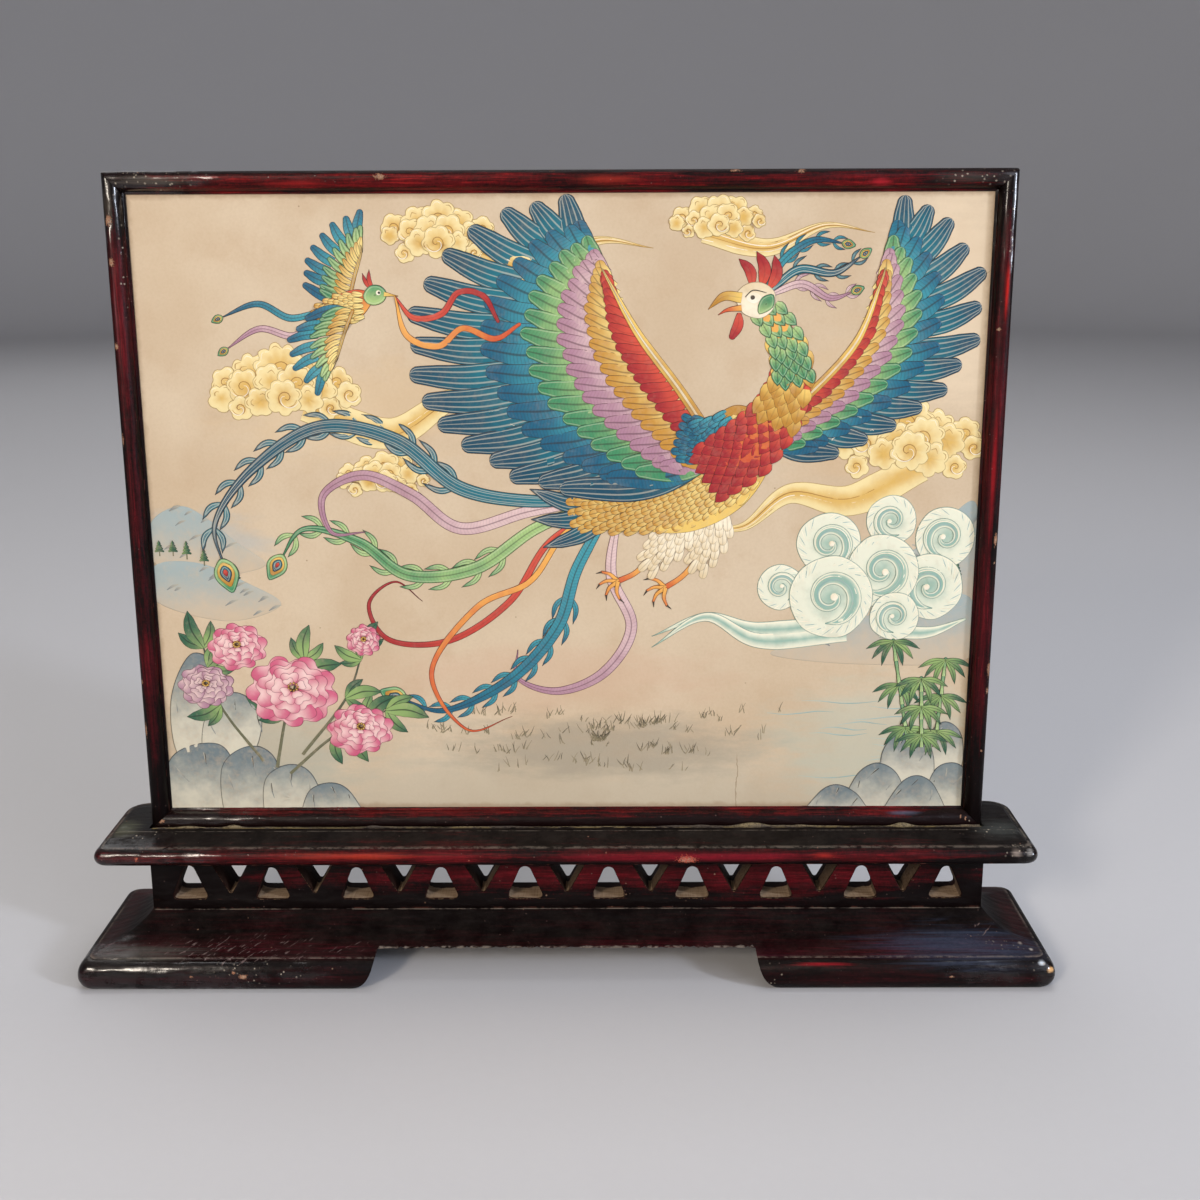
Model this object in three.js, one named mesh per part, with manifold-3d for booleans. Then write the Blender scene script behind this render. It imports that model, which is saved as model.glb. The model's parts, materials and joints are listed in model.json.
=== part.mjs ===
// Table screen: a carved stone plaque in a mitred, moulded frame that is glued into a two-tier stand.
// The stand is a moulded base, a plank pierced with triangles, and a moulded upper board.
// Millimetres, X along the screen, -Y towards the viewer, +Z up.
// The origin is the middle of the base's underside.

import * as THREE from 'three';
import { mergeVertices } from 'three/addons/utils/BufferGeometryUtils.js';
import Module from 'manifold-3d';

// Clearances
const FIT = 0.3;
const GLUE_LINE = 0.05;
const OVERCUT = 2;

// Frame round the plaque
const FRAME_WIDTH = 254.9;
const FRAME_HEIGHT = 194.6;
const FRAME_DEPTH = 14.2;
const FRAME_FACE = 6.2;
const CREST_DROP = 2.5;
const SIGHT_STEP = 0.8;
const SIGHT_FALL = 0.3;
const SIGHT_LIP = 0.8;
const REBATE_WIDTH = 2.4;
const FRAME_CORNER = 1.1;

// What the frame holds, from front to back
const STONE_THICKNESS = 5.5;
const STONE_CHAMFER = 0.4;
const CARD_THICKNESS = 0.8;
const BACK_THICKNESS = 2.5;
const BACK_CHAMFER = 0.5;

// Slips of bamboo let into a saw cut across each corner of the frame
const KEY_THICKNESS = 0.8;
const KEY_WALL = 0.8;
const KEY_BEHIND_STONE_FACE = 5.0;

// Brads that hold the back board in
const BRAD_RADIUS = 0.5;
const BRAD_LENGTH = 7.0;
const BRAD_POINT = 1.2;
const BRAD_HEAD_RADIUS = 0.8;
const BRAD_HEAD = 0.4;
const BRAD_WALL = 1.2;
const BRADS_PER_RAIL = 2;

// Upper board, on which the frame stands
const SHELF_FRONT_MARGIN = 3.15;
const SHELF_END_MARGIN = 9.5;
const SHELF_FRONT_RUN = 7.8;
const SHELF_END_RUN = 2.1;
const SHELF_EDGE_HEIGHT = 5.4;
const SHELF_EDGE_SWELL = 2.0;
const SHELF_QUIRK = 0.4;
const SHELF_COVE_RISE = 2.1;
const SHELF_FRONT_CORNER = 2.6;
const SHELF_BACK_CORNER = 6.0;
const GROOVE_DEPTH = 1.0;

// Pierced plank between the two boards
const GALLERY_THICKNESS = 12.1;
const GALLERY_HEIGHT = 20.0;
const GALLERY_PROUD_END = 1.05;
const GALLERY_END_BLOCK = 5.7;
const SILL_HEIGHT = 3.2;
const UPRIGHT_OPENINGS = 10;
const UPRIGHT_WIDTH = 11.5;
const UPRIGHT_HEAD = 3.0;
const HANGING_WIDTH = 13.5;
const HANGING_HEAD = 3.4;
const HANGING_RISE = 1.4;
const SILL_CORNER = 2.2;
const APEX_CORNER = 6.0;
const HEAD_CORNER = 1.2;
const POINT_CORNER = 1.6;
const LARGEST_EASE = 0.45;

// Stub tenons of the plank, above and below
const TENON_LENGTH = 16;
const TENON_THICKNESS = 6;
const TENON_HEIGHT = 4;
const TENON_STEP_OPENINGS = 3;

// Base
const PLATEAU_END_MARGIN = 0.3;
const PLATEAU_FRONT_MARGIN = 0.75;
const BASE_END_RUN = 15.0;
const BASE_FRONT_RUN = 18.0;
const BASE_QUIRK = 0.6;
const BASE_QUIRK_HEIGHT = 0.4;
const BASE_EDGE_HEIGHT = 9.2;
const BASE_EDGE_SWELL = 2.6;
const BASE_COVE_RISE = 7.3;
const BASE_CORNER = 3.0;
const RECESS_WIDTH = 114.6;
const RECESS_HEIGHT = 10.4;
const RECESS_FLARE = 8.0;
const RECESS_TOE_RUN = 6.3;
const RECESS_TOE_RISE = 1.2;

// Screws from beneath the base into the plank's end blocks
const SCREW_RADIUS = 1.2;
const SCREW_LENGTH = 26;
const SCREW_POINT = 3.5;
const SCREW_HEAD_RADIUS = 2.4;
const SCREW_HEAD_HEIGHT = 1.3;
const SCREW_SINK = 0.8;
const SCREW_SLOT_WIDTH = 0.6;
const SCREW_SLOT_DEPTH = 0.7;

// Shape of the curves: the sweep of a half-round edge, and where the two hollows turn
const EDGE_SWEEP = THREE.MathUtils.degToRad(160);
const BASE_HOLLOW = { along: 0.69, up: 0.22 };
const SHELF_HOLLOW = { along: 0.6, up: 0.35 };
const SHARP_HIP = 0.35;

// Steps of the curves
const EDGE_STEPS = 10;
const COVE_STEPS = 8;
const CORNER_STEPS = 4;
const CREST_STEPS = 14;
const HOLE_STEPS = 4;
const ROUND_STEPS = 12;
const BRAD_STEPS = 8;

// Points nearer to each other than this are one point
const MERGE_TOLERANCE = 1e-4;
const HALF_TURN = 180;

// Sizes that follow from the ones above
const STONE_FACE = -FRAME_DEPTH / 2 + CREST_DROP + SIGHT_LIP;
const CARD_FACE = STONE_FACE + STONE_THICKNESS + GLUE_LINE;
const BACK_FACE = CARD_FACE + CARD_THICKNESS + GLUE_LINE;
const BRAD_LINE = BACK_FACE + BACK_THICKNESS + FIT + BRAD_RADIUS;
const REBATE_WALL = FRAME_FACE - REBATE_WIDTH;
const BRAD_BITE = REBATE_WALL - BRAD_WALL;
const PANEL_WIDTH = FRAME_WIDTH - 2 * (REBATE_WALL + FIT);
const PANEL_HEIGHT = FRAME_HEIGHT - 2 * (REBATE_WALL + FIT);
const KEY_DEPTH = REBATE_WALL * Math.SQRT2 - KEY_WALL;
const KEY_PLANE = STONE_FACE + KEY_BEHIND_STONE_FACE;

const GALLERY_LENGTH = FRAME_WIDTH + 2 * GALLERY_PROUD_END;
const OPENING_PITCH =
  (GALLERY_LENGTH - 2 * GALLERY_END_BLOCK - UPRIGHT_WIDTH) / (UPRIGHT_OPENINGS - 1);
const SCREW_PLACE = GALLERY_LENGTH / 2 - GALLERY_END_BLOCK / 2;

const SHELF_END_INSET = SHELF_EDGE_SWELL + SHELF_QUIRK + SHELF_END_RUN;
const SHELF_FRONT_INSET = SHELF_EDGE_SWELL + SHELF_QUIRK + SHELF_FRONT_RUN;
const SHELF_LENGTH = FRAME_WIDTH + 2 * (SHELF_END_MARGIN + SHELF_END_INSET);
const SHELF_DEPTH = FRAME_DEPTH + 2 * (SHELF_FRONT_MARGIN + SHELF_FRONT_INSET);
const SHELF_HEIGHT = SHELF_EDGE_HEIGHT + SHELF_COVE_RISE;

const BASE_END_INSET = BASE_EDGE_SWELL + BASE_QUIRK + BASE_END_RUN;
const BASE_FRONT_INSET = BASE_EDGE_SWELL + BASE_QUIRK + BASE_FRONT_RUN;
const BASE_LENGTH = GALLERY_LENGTH + 2 * (PLATEAU_END_MARGIN + BASE_END_INSET);
const BASE_DEPTH = GALLERY_THICKNESS + 2 * (PLATEAU_FRONT_MARGIN + BASE_FRONT_INSET);
const BASE_HEIGHT = BASE_EDGE_HEIGHT + BASE_QUIRK_HEIGHT + BASE_COVE_RISE;

const GALLERY_FOOT = BASE_HEIGHT + GLUE_LINE;
const SHELF_FOOT = GALLERY_FOOT + GALLERY_HEIGHT + GLUE_LINE;
const FRAME_FOOT = SHELF_FOOT + SHELF_HEIGHT - GROOVE_DEPTH + GLUE_LINE;

// Colours of the materials
const LACQUER = 0x3a1412;
const STONE = 0xd9ccb4;
const CARD = 0x8c7b62;
const PLY = 0x7d5a3a;
const BAMBOO = 0x6a4a2c;
const STEEL = 0x8f8f8c;

const wasm = await Module();
wasm.setup();

// Turns a closed three.js geometry into a solid that can be cut and joined.
function solidOf(geometry) {
  const bare = geometry.clone();
  bare.deleteAttribute('normal');
  bare.deleteAttribute('uv');
  const merged = mergeVertices(bare, MERGE_TOLERANCE);
  return new wasm.Manifold(new wasm.Mesh({
    numProp: 3,
    vertProperties: new Float32Array(merged.attributes.position.array),
    triVerts: new Uint32Array(merged.index.array),
  }));
}

// Turns a solid back into a geometry with flat facets.
function geometryOf(solid) {
  const mesh = solid.getMesh();
  const geometry = new THREE.BufferGeometry();
  const positions = new Float32Array(mesh.vertProperties);
  geometry.setAttribute('position', new THREE.BufferAttribute(positions, 3));
  geometry.setIndex(new THREE.BufferAttribute(new Uint32Array(mesh.triVerts), 1));
  const facets = geometry.toNonIndexed();
  facets.computeVertexNormals();
  return facets;
}

function cut(body, ...tools) {
  return tools.reduce((rest, tool) => rest.subtract(tool), body);
}

function join(body, ...others) {
  return others.reduce((whole, other) => whole.add(other), body);
}

function box(length, depth, height, x, y, lowZ) {
  const geometry = new THREE.BoxGeometry(length, depth, height);
  geometry.translate(x, y, lowZ + height / 2);
  return geometry;
}

// A named mesh with its own material.
function piece(name, geometry, color, roughness, metalness = 0) {
  const material = new THREE.MeshStandardMaterial({ color, roughness, metalness });
  const mesh = new THREE.Mesh(geometry, material);
  mesh.name = name;
  return mesh;
}

// Mouldings: each profile is a list of levels, and each level gives its height and how far the
// outline stands in from the outermost line at the ends and at the front.

function halfRound(height, swell) {
  const levels = [];
  for (let i = 0; i <= EDGE_STEPS; i++) {
    const turn = (i / EDGE_STEPS - 0.5) * EDGE_SWEEP;
    const inset = swell * (1 - Math.cos(turn)) / (1 - Math.cos(EDGE_SWEEP / 2));
    const z = height / 2 * (1 + Math.sin(turn) / Math.sin(EDGE_SWEEP / 2));
    levels.push({ z, end: inset, front: inset });
  }
  return levels;
}

function hollow(lip, endRun, frontRun, rise, bend) {
  const levels = [];
  for (let i = 0; i <= COVE_STEPS; i++) {
    const t = i / COVE_STEPS;
    const along = 2 * t * (1 - t) * bend.along + t * t;
    const up = 2 * t * (1 - t) * bend.up + t * t;
    const end = lip.end + endRun * along;
    const front = lip.front + frontRun * along;
    levels.push({ z: lip.z + rise * up, end, front });
  }
  return levels;
}

// One level of a moulded board: a rectangle with rounded corners, front and back radii apart.
function boardRing(halfLength, halfDepth, frontRadius, backRadius, z) {
  const corners = [
    { x: 1, y: -1, radius: frontRadius, from: -Math.PI / 2 },
    { x: 1, y: 1, radius: backRadius, from: 0 },
    { x: -1, y: 1, radius: backRadius, from: Math.PI / 2 },
    { x: -1, y: -1, radius: frontRadius, from: Math.PI },
  ];
  const ring = [];
  for (const corner of corners) {
    for (let i = 0; i <= CORNER_STEPS; i++) {
      const turn = corner.from + i / CORNER_STEPS * Math.PI / 2;
      const x = corner.x * (halfLength - corner.radius) + corner.radius * Math.cos(turn);
      const y = corner.y * (halfDepth - corner.radius) + corner.radius * Math.sin(turn);
      ring.push(new THREE.Vector3(x, y, z));
    }
  }
  return ring;
}

// A closed body through rings that have the same number of points, from its foot to its head.
function loft(rings) {
  const count = rings[0].length;
  const points = rings.flat();
  const faces = [];
  for (let level = 0; level < rings.length - 1; level++) {
    for (let i = 0; i < count; i++) {
      const a = level * count + i;
      const b = level * count + (i + 1) % count;
      faces.push(a, b, b + count, a, b + count, a + count);
    }
  }
  const head = (rings.length - 1) * count;
  for (let i = 1; i < count - 1; i++) {
    faces.push(0, i + 1, i);
    faces.push(head, head + i, head + i + 1);
  }
  const geometry = new THREE.BufferGeometry().setFromPoints(points);
  geometry.setIndex(faces);
  return geometry;
}

function mouldedBoard(length, depth, frontCorner, backCorner, levels) {
  return loft(levels.map(({ z, end, front }) => boardRing(
    length / 2 - end,
    depth / 2 - front,
    Math.max(frontCorner - front, SHARP_HIP),
    Math.max(backCorner - front, SHARP_HIP),
    z,
  )));
}

// Base

// A screw, or when grown its countersunk hole.
function screwSolid(grow) {
  const radius = SCREW_RADIUS + grow;
  const head = SCREW_HEAD_RADIUS + grow;
  const below = -SCREW_SINK - OVERCUT;
  const foot = [new THREE.Vector2(0, 0)];
  const deepFoot = [new THREE.Vector2(0, below), new THREE.Vector2(head, below)];
  const outline = [
    ...(grow > 0 ? deepFoot : foot),
    new THREE.Vector2(head, 0),
    new THREE.Vector2(radius, SCREW_HEAD_HEIGHT),
    new THREE.Vector2(radius, SCREW_LENGTH - SCREW_POINT),
    new THREE.Vector2(0, SCREW_LENGTH + grow),
  ];
  const geometry = new THREE.LatheGeometry(outline, ROUND_STEPS);
  geometry.rotateX(Math.PI / 2);
  return solidOf(geometry);
}

function screwAt(side) {
  const slot = solidOf(box(
    2 * SCREW_HEAD_RADIUS + OVERCUT, SCREW_SLOT_WIDTH, SCREW_SLOT_DEPTH + OVERCUT, 0, 0, -OVERCUT,
  ));
  const name = side < 0 ? 'base_screw_left' : 'base_screw_right';
  const mesh = piece(name, geometryOf(cut(screwSolid(0), slot)), STEEL, 0.4, 1);
  mesh.position.set(side * SCREW_PLACE, 0, SCREW_SINK);
  return mesh;
}

function recessTool() {
  const ceiling = RECESS_WIDTH / 2;
  const floor = ceiling + RECESS_FLARE;
  const outline = new THREE.Shape();
  outline.moveTo(-floor, -OVERCUT);
  outline.lineTo(floor, -OVERCUT);
  outline.lineTo(floor, 0);
  outline.quadraticCurveTo(floor - RECESS_TOE_RUN, RECESS_TOE_RISE, ceiling, RECESS_HEIGHT);
  outline.lineTo(-ceiling, RECESS_HEIGHT);
  outline.quadraticCurveTo(-floor + RECESS_TOE_RUN, RECESS_TOE_RISE, -floor, 0);
  outline.closePath();
  const depth = BASE_DEPTH + 2 * OVERCUT;
  const geometry = new THREE.ExtrudeGeometry(outline, {
    depth, bevelEnabled: false, curveSegments: CREST_STEPS,
  });
  geometry.rotateX(Math.PI / 2);
  geometry.translate(0, depth / 2, 0);
  return solidOf(geometry);
}

function tenonPlaces() {
  const step = TENON_STEP_OPENINGS * OPENING_PITCH;
  return [-step, 0, step];
}

function mortises(lowZ, height) {
  return tenonPlaces().map((x) => solidOf(
    box(TENON_LENGTH + 2 * FIT, TENON_THICKNESS + 2 * FIT, height, x, 0, lowZ),
  ));
}

function makeBase() {
  const edge = halfRound(BASE_EDGE_HEIGHT, BASE_EDGE_SWELL);
  const lipInset = BASE_EDGE_SWELL + BASE_QUIRK;
  const quirk = { z: BASE_EDGE_HEIGHT, end: lipInset, front: lipInset };
  const lip = { z: BASE_EDGE_HEIGHT + BASE_QUIRK_HEIGHT, end: lipInset, front: lipInset };
  const cove = hollow(lip, BASE_END_RUN, BASE_FRONT_RUN, BASE_COVE_RISE, BASE_HOLLOW);
  const levels = [...edge, quirk, ...cove];
  const board = solidOf(mouldedBoard(BASE_LENGTH, BASE_DEPTH, BASE_CORNER, BASE_CORNER, levels));
  const pockets = mortises(BASE_HEIGHT - TENON_HEIGHT - FIT, TENON_HEIGHT + FIT + OVERCUT);
  const holes = [-1, 1].map((side) => screwSolid(FIT).translate([side * SCREW_PLACE, 0, SCREW_SINK]));
  return piece('base_plinth', geometryOf(cut(board, recessTool(), ...pockets, ...holes)), LACQUER, 0.3);
}

// Pierced plank

// A closed outline whose corners are eased over the stated reach.
function easedOutline(corners) {
  const outline = new THREE.Shape();
  corners.forEach(({ x, y, reach }, i) => {
    const corner = new THREE.Vector2(x, y);
    const before = corners[(i + corners.length - 1) % corners.length];
    const after = corners[(i + 1) % corners.length];
    const away = (other) => {
      const far = new THREE.Vector2(other.x, other.y);
      return corner.clone().lerp(far, Math.min(reach / corner.distanceTo(far), LARGEST_EASE));
    };
    const start = away(before);
    const finish = away(after);
    if (i === 0) outline.moveTo(start.x, start.y);
    else outline.lineTo(start.x, start.y);
    outline.quadraticCurveTo(corner.x, corner.y, finish.x, finish.y);
  });
  outline.closePath();
  return outline;
}

function uprightOpening(x) {
  return easedOutline([
    { x: x - UPRIGHT_WIDTH / 2, y: SILL_HEIGHT, reach: SILL_CORNER },
    { x: x + UPRIGHT_WIDTH / 2, y: SILL_HEIGHT, reach: SILL_CORNER },
    { x, y: GALLERY_HEIGHT - UPRIGHT_HEAD, reach: APEX_CORNER },
  ]);
}

function hangingOpening(x) {
  return easedOutline([
    { x: x - HANGING_WIDTH / 2, y: GALLERY_HEIGHT - HANGING_HEAD, reach: HEAD_CORNER },
    { x, y: SILL_HEIGHT + HANGING_RISE, reach: POINT_CORNER },
    { x: x + HANGING_WIDTH / 2, y: GALLERY_HEIGHT - HANGING_HEAD, reach: HEAD_CORNER },
  ]);
}

function stubTenon(x, lowZ, highZ) {
  return solidOf(box(TENON_LENGTH, TENON_THICKNESS, highZ - lowZ, x, 0, lowZ));
}

function makeGallery() {
  const half = GALLERY_LENGTH / 2;
  const outline = new THREE.Shape();
  outline.moveTo(-half, 0);
  outline.lineTo(half, 0);
  outline.lineTo(half, GALLERY_HEIGHT);
  outline.lineTo(-half, GALLERY_HEIGHT);
  outline.closePath();
  for (let i = 0; i < UPRIGHT_OPENINGS; i++) {
    const x = (i - (UPRIGHT_OPENINGS - 1) / 2) * OPENING_PITCH;
    outline.holes.push(uprightOpening(x));
    if (i < UPRIGHT_OPENINGS - 1) outline.holes.push(hangingOpening(x + OPENING_PITCH / 2));
  }
  const plank = new THREE.ExtrudeGeometry(outline, {
    depth: GALLERY_THICKNESS, bevelEnabled: false, curveSegments: HOLE_STEPS,
  });
  plank.rotateX(Math.PI / 2);
  plank.translate(0, GALLERY_THICKNESS / 2, 0);
  const body = join(solidOf(plank), ...tenonPlaces().flatMap((x) => [
    stubTenon(x, -TENON_HEIGHT, SILL_HEIGHT / 2),
    stubTenon(x, GALLERY_HEIGHT - UPRIGHT_HEAD / 2, GALLERY_HEIGHT + TENON_HEIGHT),
  ]));
  const holes = [-1, 1].map((side) => (
    screwSolid(FIT).translate([side * SCREW_PLACE, 0, SCREW_SINK - GALLERY_FOOT])
  ));
  const mesh = piece('pierced_gallery', geometryOf(cut(body, ...holes)), LACQUER, 0.35);
  mesh.position.z = GALLERY_FOOT;
  return mesh;
}

// Upper board

function makeShelf() {
  const edge = halfRound(SHELF_EDGE_HEIGHT, SHELF_EDGE_SWELL);
  const lipInset = SHELF_EDGE_SWELL + SHELF_QUIRK;
  const lip = { z: SHELF_EDGE_HEIGHT, end: lipInset, front: lipInset };
  const cove = hollow(lip, SHELF_END_RUN, SHELF_FRONT_RUN, SHELF_COVE_RISE, SHELF_HOLLOW);
  const levels = [...edge, ...cove];
  const board = solidOf(mouldedBoard(
    SHELF_LENGTH, SHELF_DEPTH, SHELF_FRONT_CORNER, SHELF_BACK_CORNER, levels,
  ));
  const groove = solidOf(box(
    FRAME_WIDTH + 2 * FIT, FRAME_DEPTH + 2 * FIT, GROOVE_DEPTH + OVERCUT,
    0, 0, SHELF_HEIGHT - GROOVE_DEPTH,
  ));
  const pockets = mortises(-OVERCUT, OVERCUT + TENON_HEIGHT + FIT);
  const mesh = piece('upper_board', geometryOf(cut(board, groove, ...pockets)), LACQUER, 0.3);
  mesh.position.z = SHELF_FOOT;
  return mesh;
}

// Frame

// The section of a rail: u runs from the outer edge towards the plaque, y from front to back.
function railSection() {
  const front = -FRAME_DEPTH / 2;
  const span = FRAME_FACE - SIGHT_STEP;
  const section = [];
  for (let i = 0; i <= CREST_STEPS; i++) {
    const turn = Math.PI * i / CREST_STEPS;
    section.push({ u: span * (1 - Math.cos(turn)) / 2, y: front + CREST_DROP * (1 - Math.sin(turn)) });
  }
  section.push({ u: FRAME_FACE, y: front + CREST_DROP + SIGHT_FALL });
  section.push({ u: FRAME_FACE, y: STONE_FACE - GLUE_LINE });
  section.push({ u: REBATE_WALL, y: STONE_FACE - GLUE_LINE });
  section.push({ u: REBATE_WALL, y: FRAME_DEPTH / 2 });
  section.push({ u: 0, y: FRAME_DEPTH / 2 });
  return section;
}

// The four sides, each with the direction along it and the direction towards the plaque.
const SIDES = [
  { name: 'top_rail', along: [1, 0], inward: [0, -1] },
  { name: 'right_stile', along: [0, -1], inward: [-1, 0] },
  { name: 'bottom_rail', along: [-1, 0], inward: [0, 1] },
  { name: 'left_stile', along: [0, 1], inward: [1, 0] },
];

function sideLength(side) {
  return side.along[0] !== 0 ? FRAME_WIDTH : FRAME_HEIGHT;
}

// A point of a side, from its distances along and in from the outer edge, round the frame's middle.
function sidePoint(side, along, inward, y) {
  const half = (side.along[0] !== 0 ? FRAME_HEIGHT : FRAME_WIDTH) / 2;
  const x = side.along[0] * along + side.inward[0] * (inward - half);
  const z = side.along[1] * along + side.inward[1] * (inward - half);
  return new THREE.Vector3(x, y, z);
}

// A rail with both ends cut at 45 degrees.
function mitredRail(side) {
  const section = railSection();
  const reach = (u) => sideLength(side) / 2 - u - GLUE_LINE / 2;
  const near = section.map(({ u, y }) => sidePoint(side, -reach(u), u, y));
  const far = section.map(({ u, y }) => sidePoint(side, reach(u), u, y));
  const count = section.length;
  const faces = [];
  for (let i = 0; i < count; i++) {
    const next = (i + 1) % count;
    faces.push(i, next, next + count, i, next + count, i + count);
  }
  const flat = section.map(({ u, y }) => new THREE.Vector2(u, y));
  for (const [a, b, c] of THREE.ShapeUtils.triangulateShape(flat, [])) {
    faces.push(a, c, b);
    faces.push(a + count, b + count, c + count);
  }
  const geometry = new THREE.BufferGeometry().setFromPoints([...near, ...far]);
  geometry.setIndex(faces);
  return geometry;
}

// A three-cornered plate across a corner of the frame, for the saw cut or for the slip in it.
function cornerPlate(signX, signZ, depth, thickness, beyond) {
  const leg = depth * Math.SQRT2;
  const outline = new THREE.Shape();
  outline.moveTo(beyond, beyond);
  outline.lineTo(-leg - beyond, beyond);
  outline.lineTo(beyond, -leg - beyond);
  outline.closePath();
  const geometry = new THREE.ExtrudeGeometry(outline, { depth: thickness, bevelEnabled: false });
  geometry.rotateX(Math.PI / 2);
  geometry.translate(0, KEY_PLANE + thickness / 2, 0);
  const turned = solidOf(geometry);
  const flipped = signX * signZ < 0 ? turned.mirror([1, 0, 0]) : turned;
  const upright = signZ < 0 ? flipped.rotate([0, HALF_TURN, 0]) : flipped;
  return upright.translate([signX * FRAME_WIDTH / 2, 0, signZ * FRAME_HEIGHT / 2]);
}

const CORNERS = [
  { name: 'top_left', x: -1, z: 1 },
  { name: 'top_right', x: 1, z: 1 },
  { name: 'bottom_left', x: -1, z: -1 },
  { name: 'bottom_right', x: 1, z: -1 },
];

// What comes off a corner of the frame, seen from the front, to round it.
function cornerWaste(corner) {
  const reach = FRAME_CORNER + OVERCUT;
  const depth = FRAME_DEPTH + 2 * OVERCUT;
  const block = solidOf(box(reach, depth, reach, corner.x * reach / 2, 0, corner.z < 0 ? -reach : 0));
  const pin = new THREE.CylinderGeometry(FRAME_CORNER, FRAME_CORNER, depth + OVERCUT, 2 * ROUND_STEPS);
  const x = corner.x * (FRAME_WIDTH / 2 - FRAME_CORNER);
  const z = corner.z * (FRAME_HEIGHT / 2 - FRAME_CORNER);
  return cut(block, solidOf(pin)).translate([x, 0, z]);
}

function makeKey(corner) {
  const plate = cornerPlate(corner.x, corner.z, KEY_DEPTH - FIT, KEY_THICKNESS, 0);
  return piece(`corner_key_${corner.name}`, geometryOf(cut(plate, cornerWaste(corner))), BAMBOO, 0.6);
}

function bradPlaces(side) {
  const spacing = sideLength(side) / BRADS_PER_RAIL;
  const places = [];
  for (let i = 0; i < BRADS_PER_RAIL; i++) {
    places.push((i - (BRADS_PER_RAIL - 1) / 2) * spacing);
  }
  return places;
}

// A brad or its hole, with its point towards the rail's outer edge.
function bradSolid(side, along, grow) {
  const radius = BRAD_RADIUS + grow;
  const outline = grow > 0
    ? [[0, -grow], [radius, -grow], [radius, BRAD_LENGTH], [0, BRAD_LENGTH]]
    : [[0, 0], [radius, BRAD_POINT], [radius, BRAD_LENGTH - BRAD_HEAD],
      [BRAD_HEAD_RADIUS, BRAD_LENGTH - BRAD_HEAD], [BRAD_HEAD_RADIUS, BRAD_LENGTH], [0, BRAD_LENGTH]];
  const points = outline.map(([r, h]) => new THREE.Vector2(r, h));
  const geometry = new THREE.LatheGeometry(points, BRAD_STEPS);
  const up = new THREE.Vector3(0, 1, 0);
  const inward = new THREE.Vector3(side.inward[0], 0, side.inward[1]);
  geometry.applyQuaternion(new THREE.Quaternion().setFromUnitVectors(up, inward));
  const tip = sidePoint(side, along, REBATE_WALL - BRAD_BITE, BRAD_LINE);
  geometry.translate(tip.x, tip.y, tip.z);
  return solidOf(geometry);
}

function makeFrame() {
  const frame = new THREE.Group();
  const kerfs = CORNERS.map((corner) => cornerPlate(
    corner.x, corner.z, KEY_DEPTH, KEY_THICKNESS + 2 * FIT, OVERCUT,
  ));
  const wastes = CORNERS.map(cornerWaste);
  for (const side of SIDES) {
    const holes = bradPlaces(side).map((along) => bradSolid(side, along, FIT));
    const rail = cut(solidOf(mitredRail(side)), ...kerfs, ...wastes, ...holes);
    frame.add(piece(`frame_${side.name}`, geometryOf(rail), LACQUER, 0.3));
    bradPlaces(side).forEach((along, i) => {
      const brad = bradSolid(side, along, 0);
      frame.add(piece(`brad_${side.name}_${i + 1}`, geometryOf(brad), STEEL, 0.45, 1));
    });
  }
  for (const corner of CORNERS) frame.add(makeKey(corner));
  frame.add(makePanel('stone_plaque', STONE_FACE, STONE_THICKNESS, STONE_CHAMFER, STONE, 0.6));
  frame.add(makePanel('backing_card', CARD_FACE, CARD_THICKNESS, 0, CARD, 0.95));
  frame.add(makePanel('back_board', BACK_FACE, BACK_THICKNESS, BACK_CHAMFER, PLY, 0.8));
  frame.position.z = FRAME_FOOT + FRAME_HEIGHT / 2;
  return frame;
}

// A flat slab in the rebate, with its arrises eased when it has a chamfer.
function makePanel(name, face, thickness, chamfer, color, roughness) {
  const halfWidth = PANEL_WIDTH / 2 - chamfer;
  const halfHeight = PANEL_HEIGHT / 2 - chamfer;
  const outline = new THREE.Shape();
  outline.moveTo(-halfWidth, -halfHeight);
  outline.lineTo(halfWidth, -halfHeight);
  outline.lineTo(halfWidth, halfHeight);
  outline.lineTo(-halfWidth, halfHeight);
  outline.closePath();
  const geometry = new THREE.ExtrudeGeometry(outline, {
    depth: thickness - 2 * chamfer,
    bevelEnabled: chamfer > 0,
    bevelThickness: chamfer,
    bevelSize: chamfer,
    bevelSegments: 1,
  });
  geometry.rotateX(Math.PI / 2);
  geometry.translate(0, face + thickness - chamfer, 0);
  return piece(name, geometryOf(solidOf(geometry)), color, roughness);
}

const screen = new THREE.Group();
screen.add(makeBase(), screwAt(-1), screwAt(1), makeGallery(), makeShelf(), makeFrame());

export default screen;
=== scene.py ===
"""Looks of a lacquered table screen that holds a carved and tinted stone plaque.

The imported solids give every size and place. The wooden pieces are modelled again over them with
softer edges, and the plaque gets its relief: a garden scene of traditional ornament. Lengths in
the dataclasses are millimetres, because a joiner and a carver would give them so, and the bench
turns them into metres.
"""
import cmath
import json
import logging
import math
import random
from contextlib import contextmanager
from dataclasses import dataclass, field
from enum import Enum
from typing import Callable, Iterator, Sequence, Union

import bmesh
import bpy
from mathutils import Matrix, Vector

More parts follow.
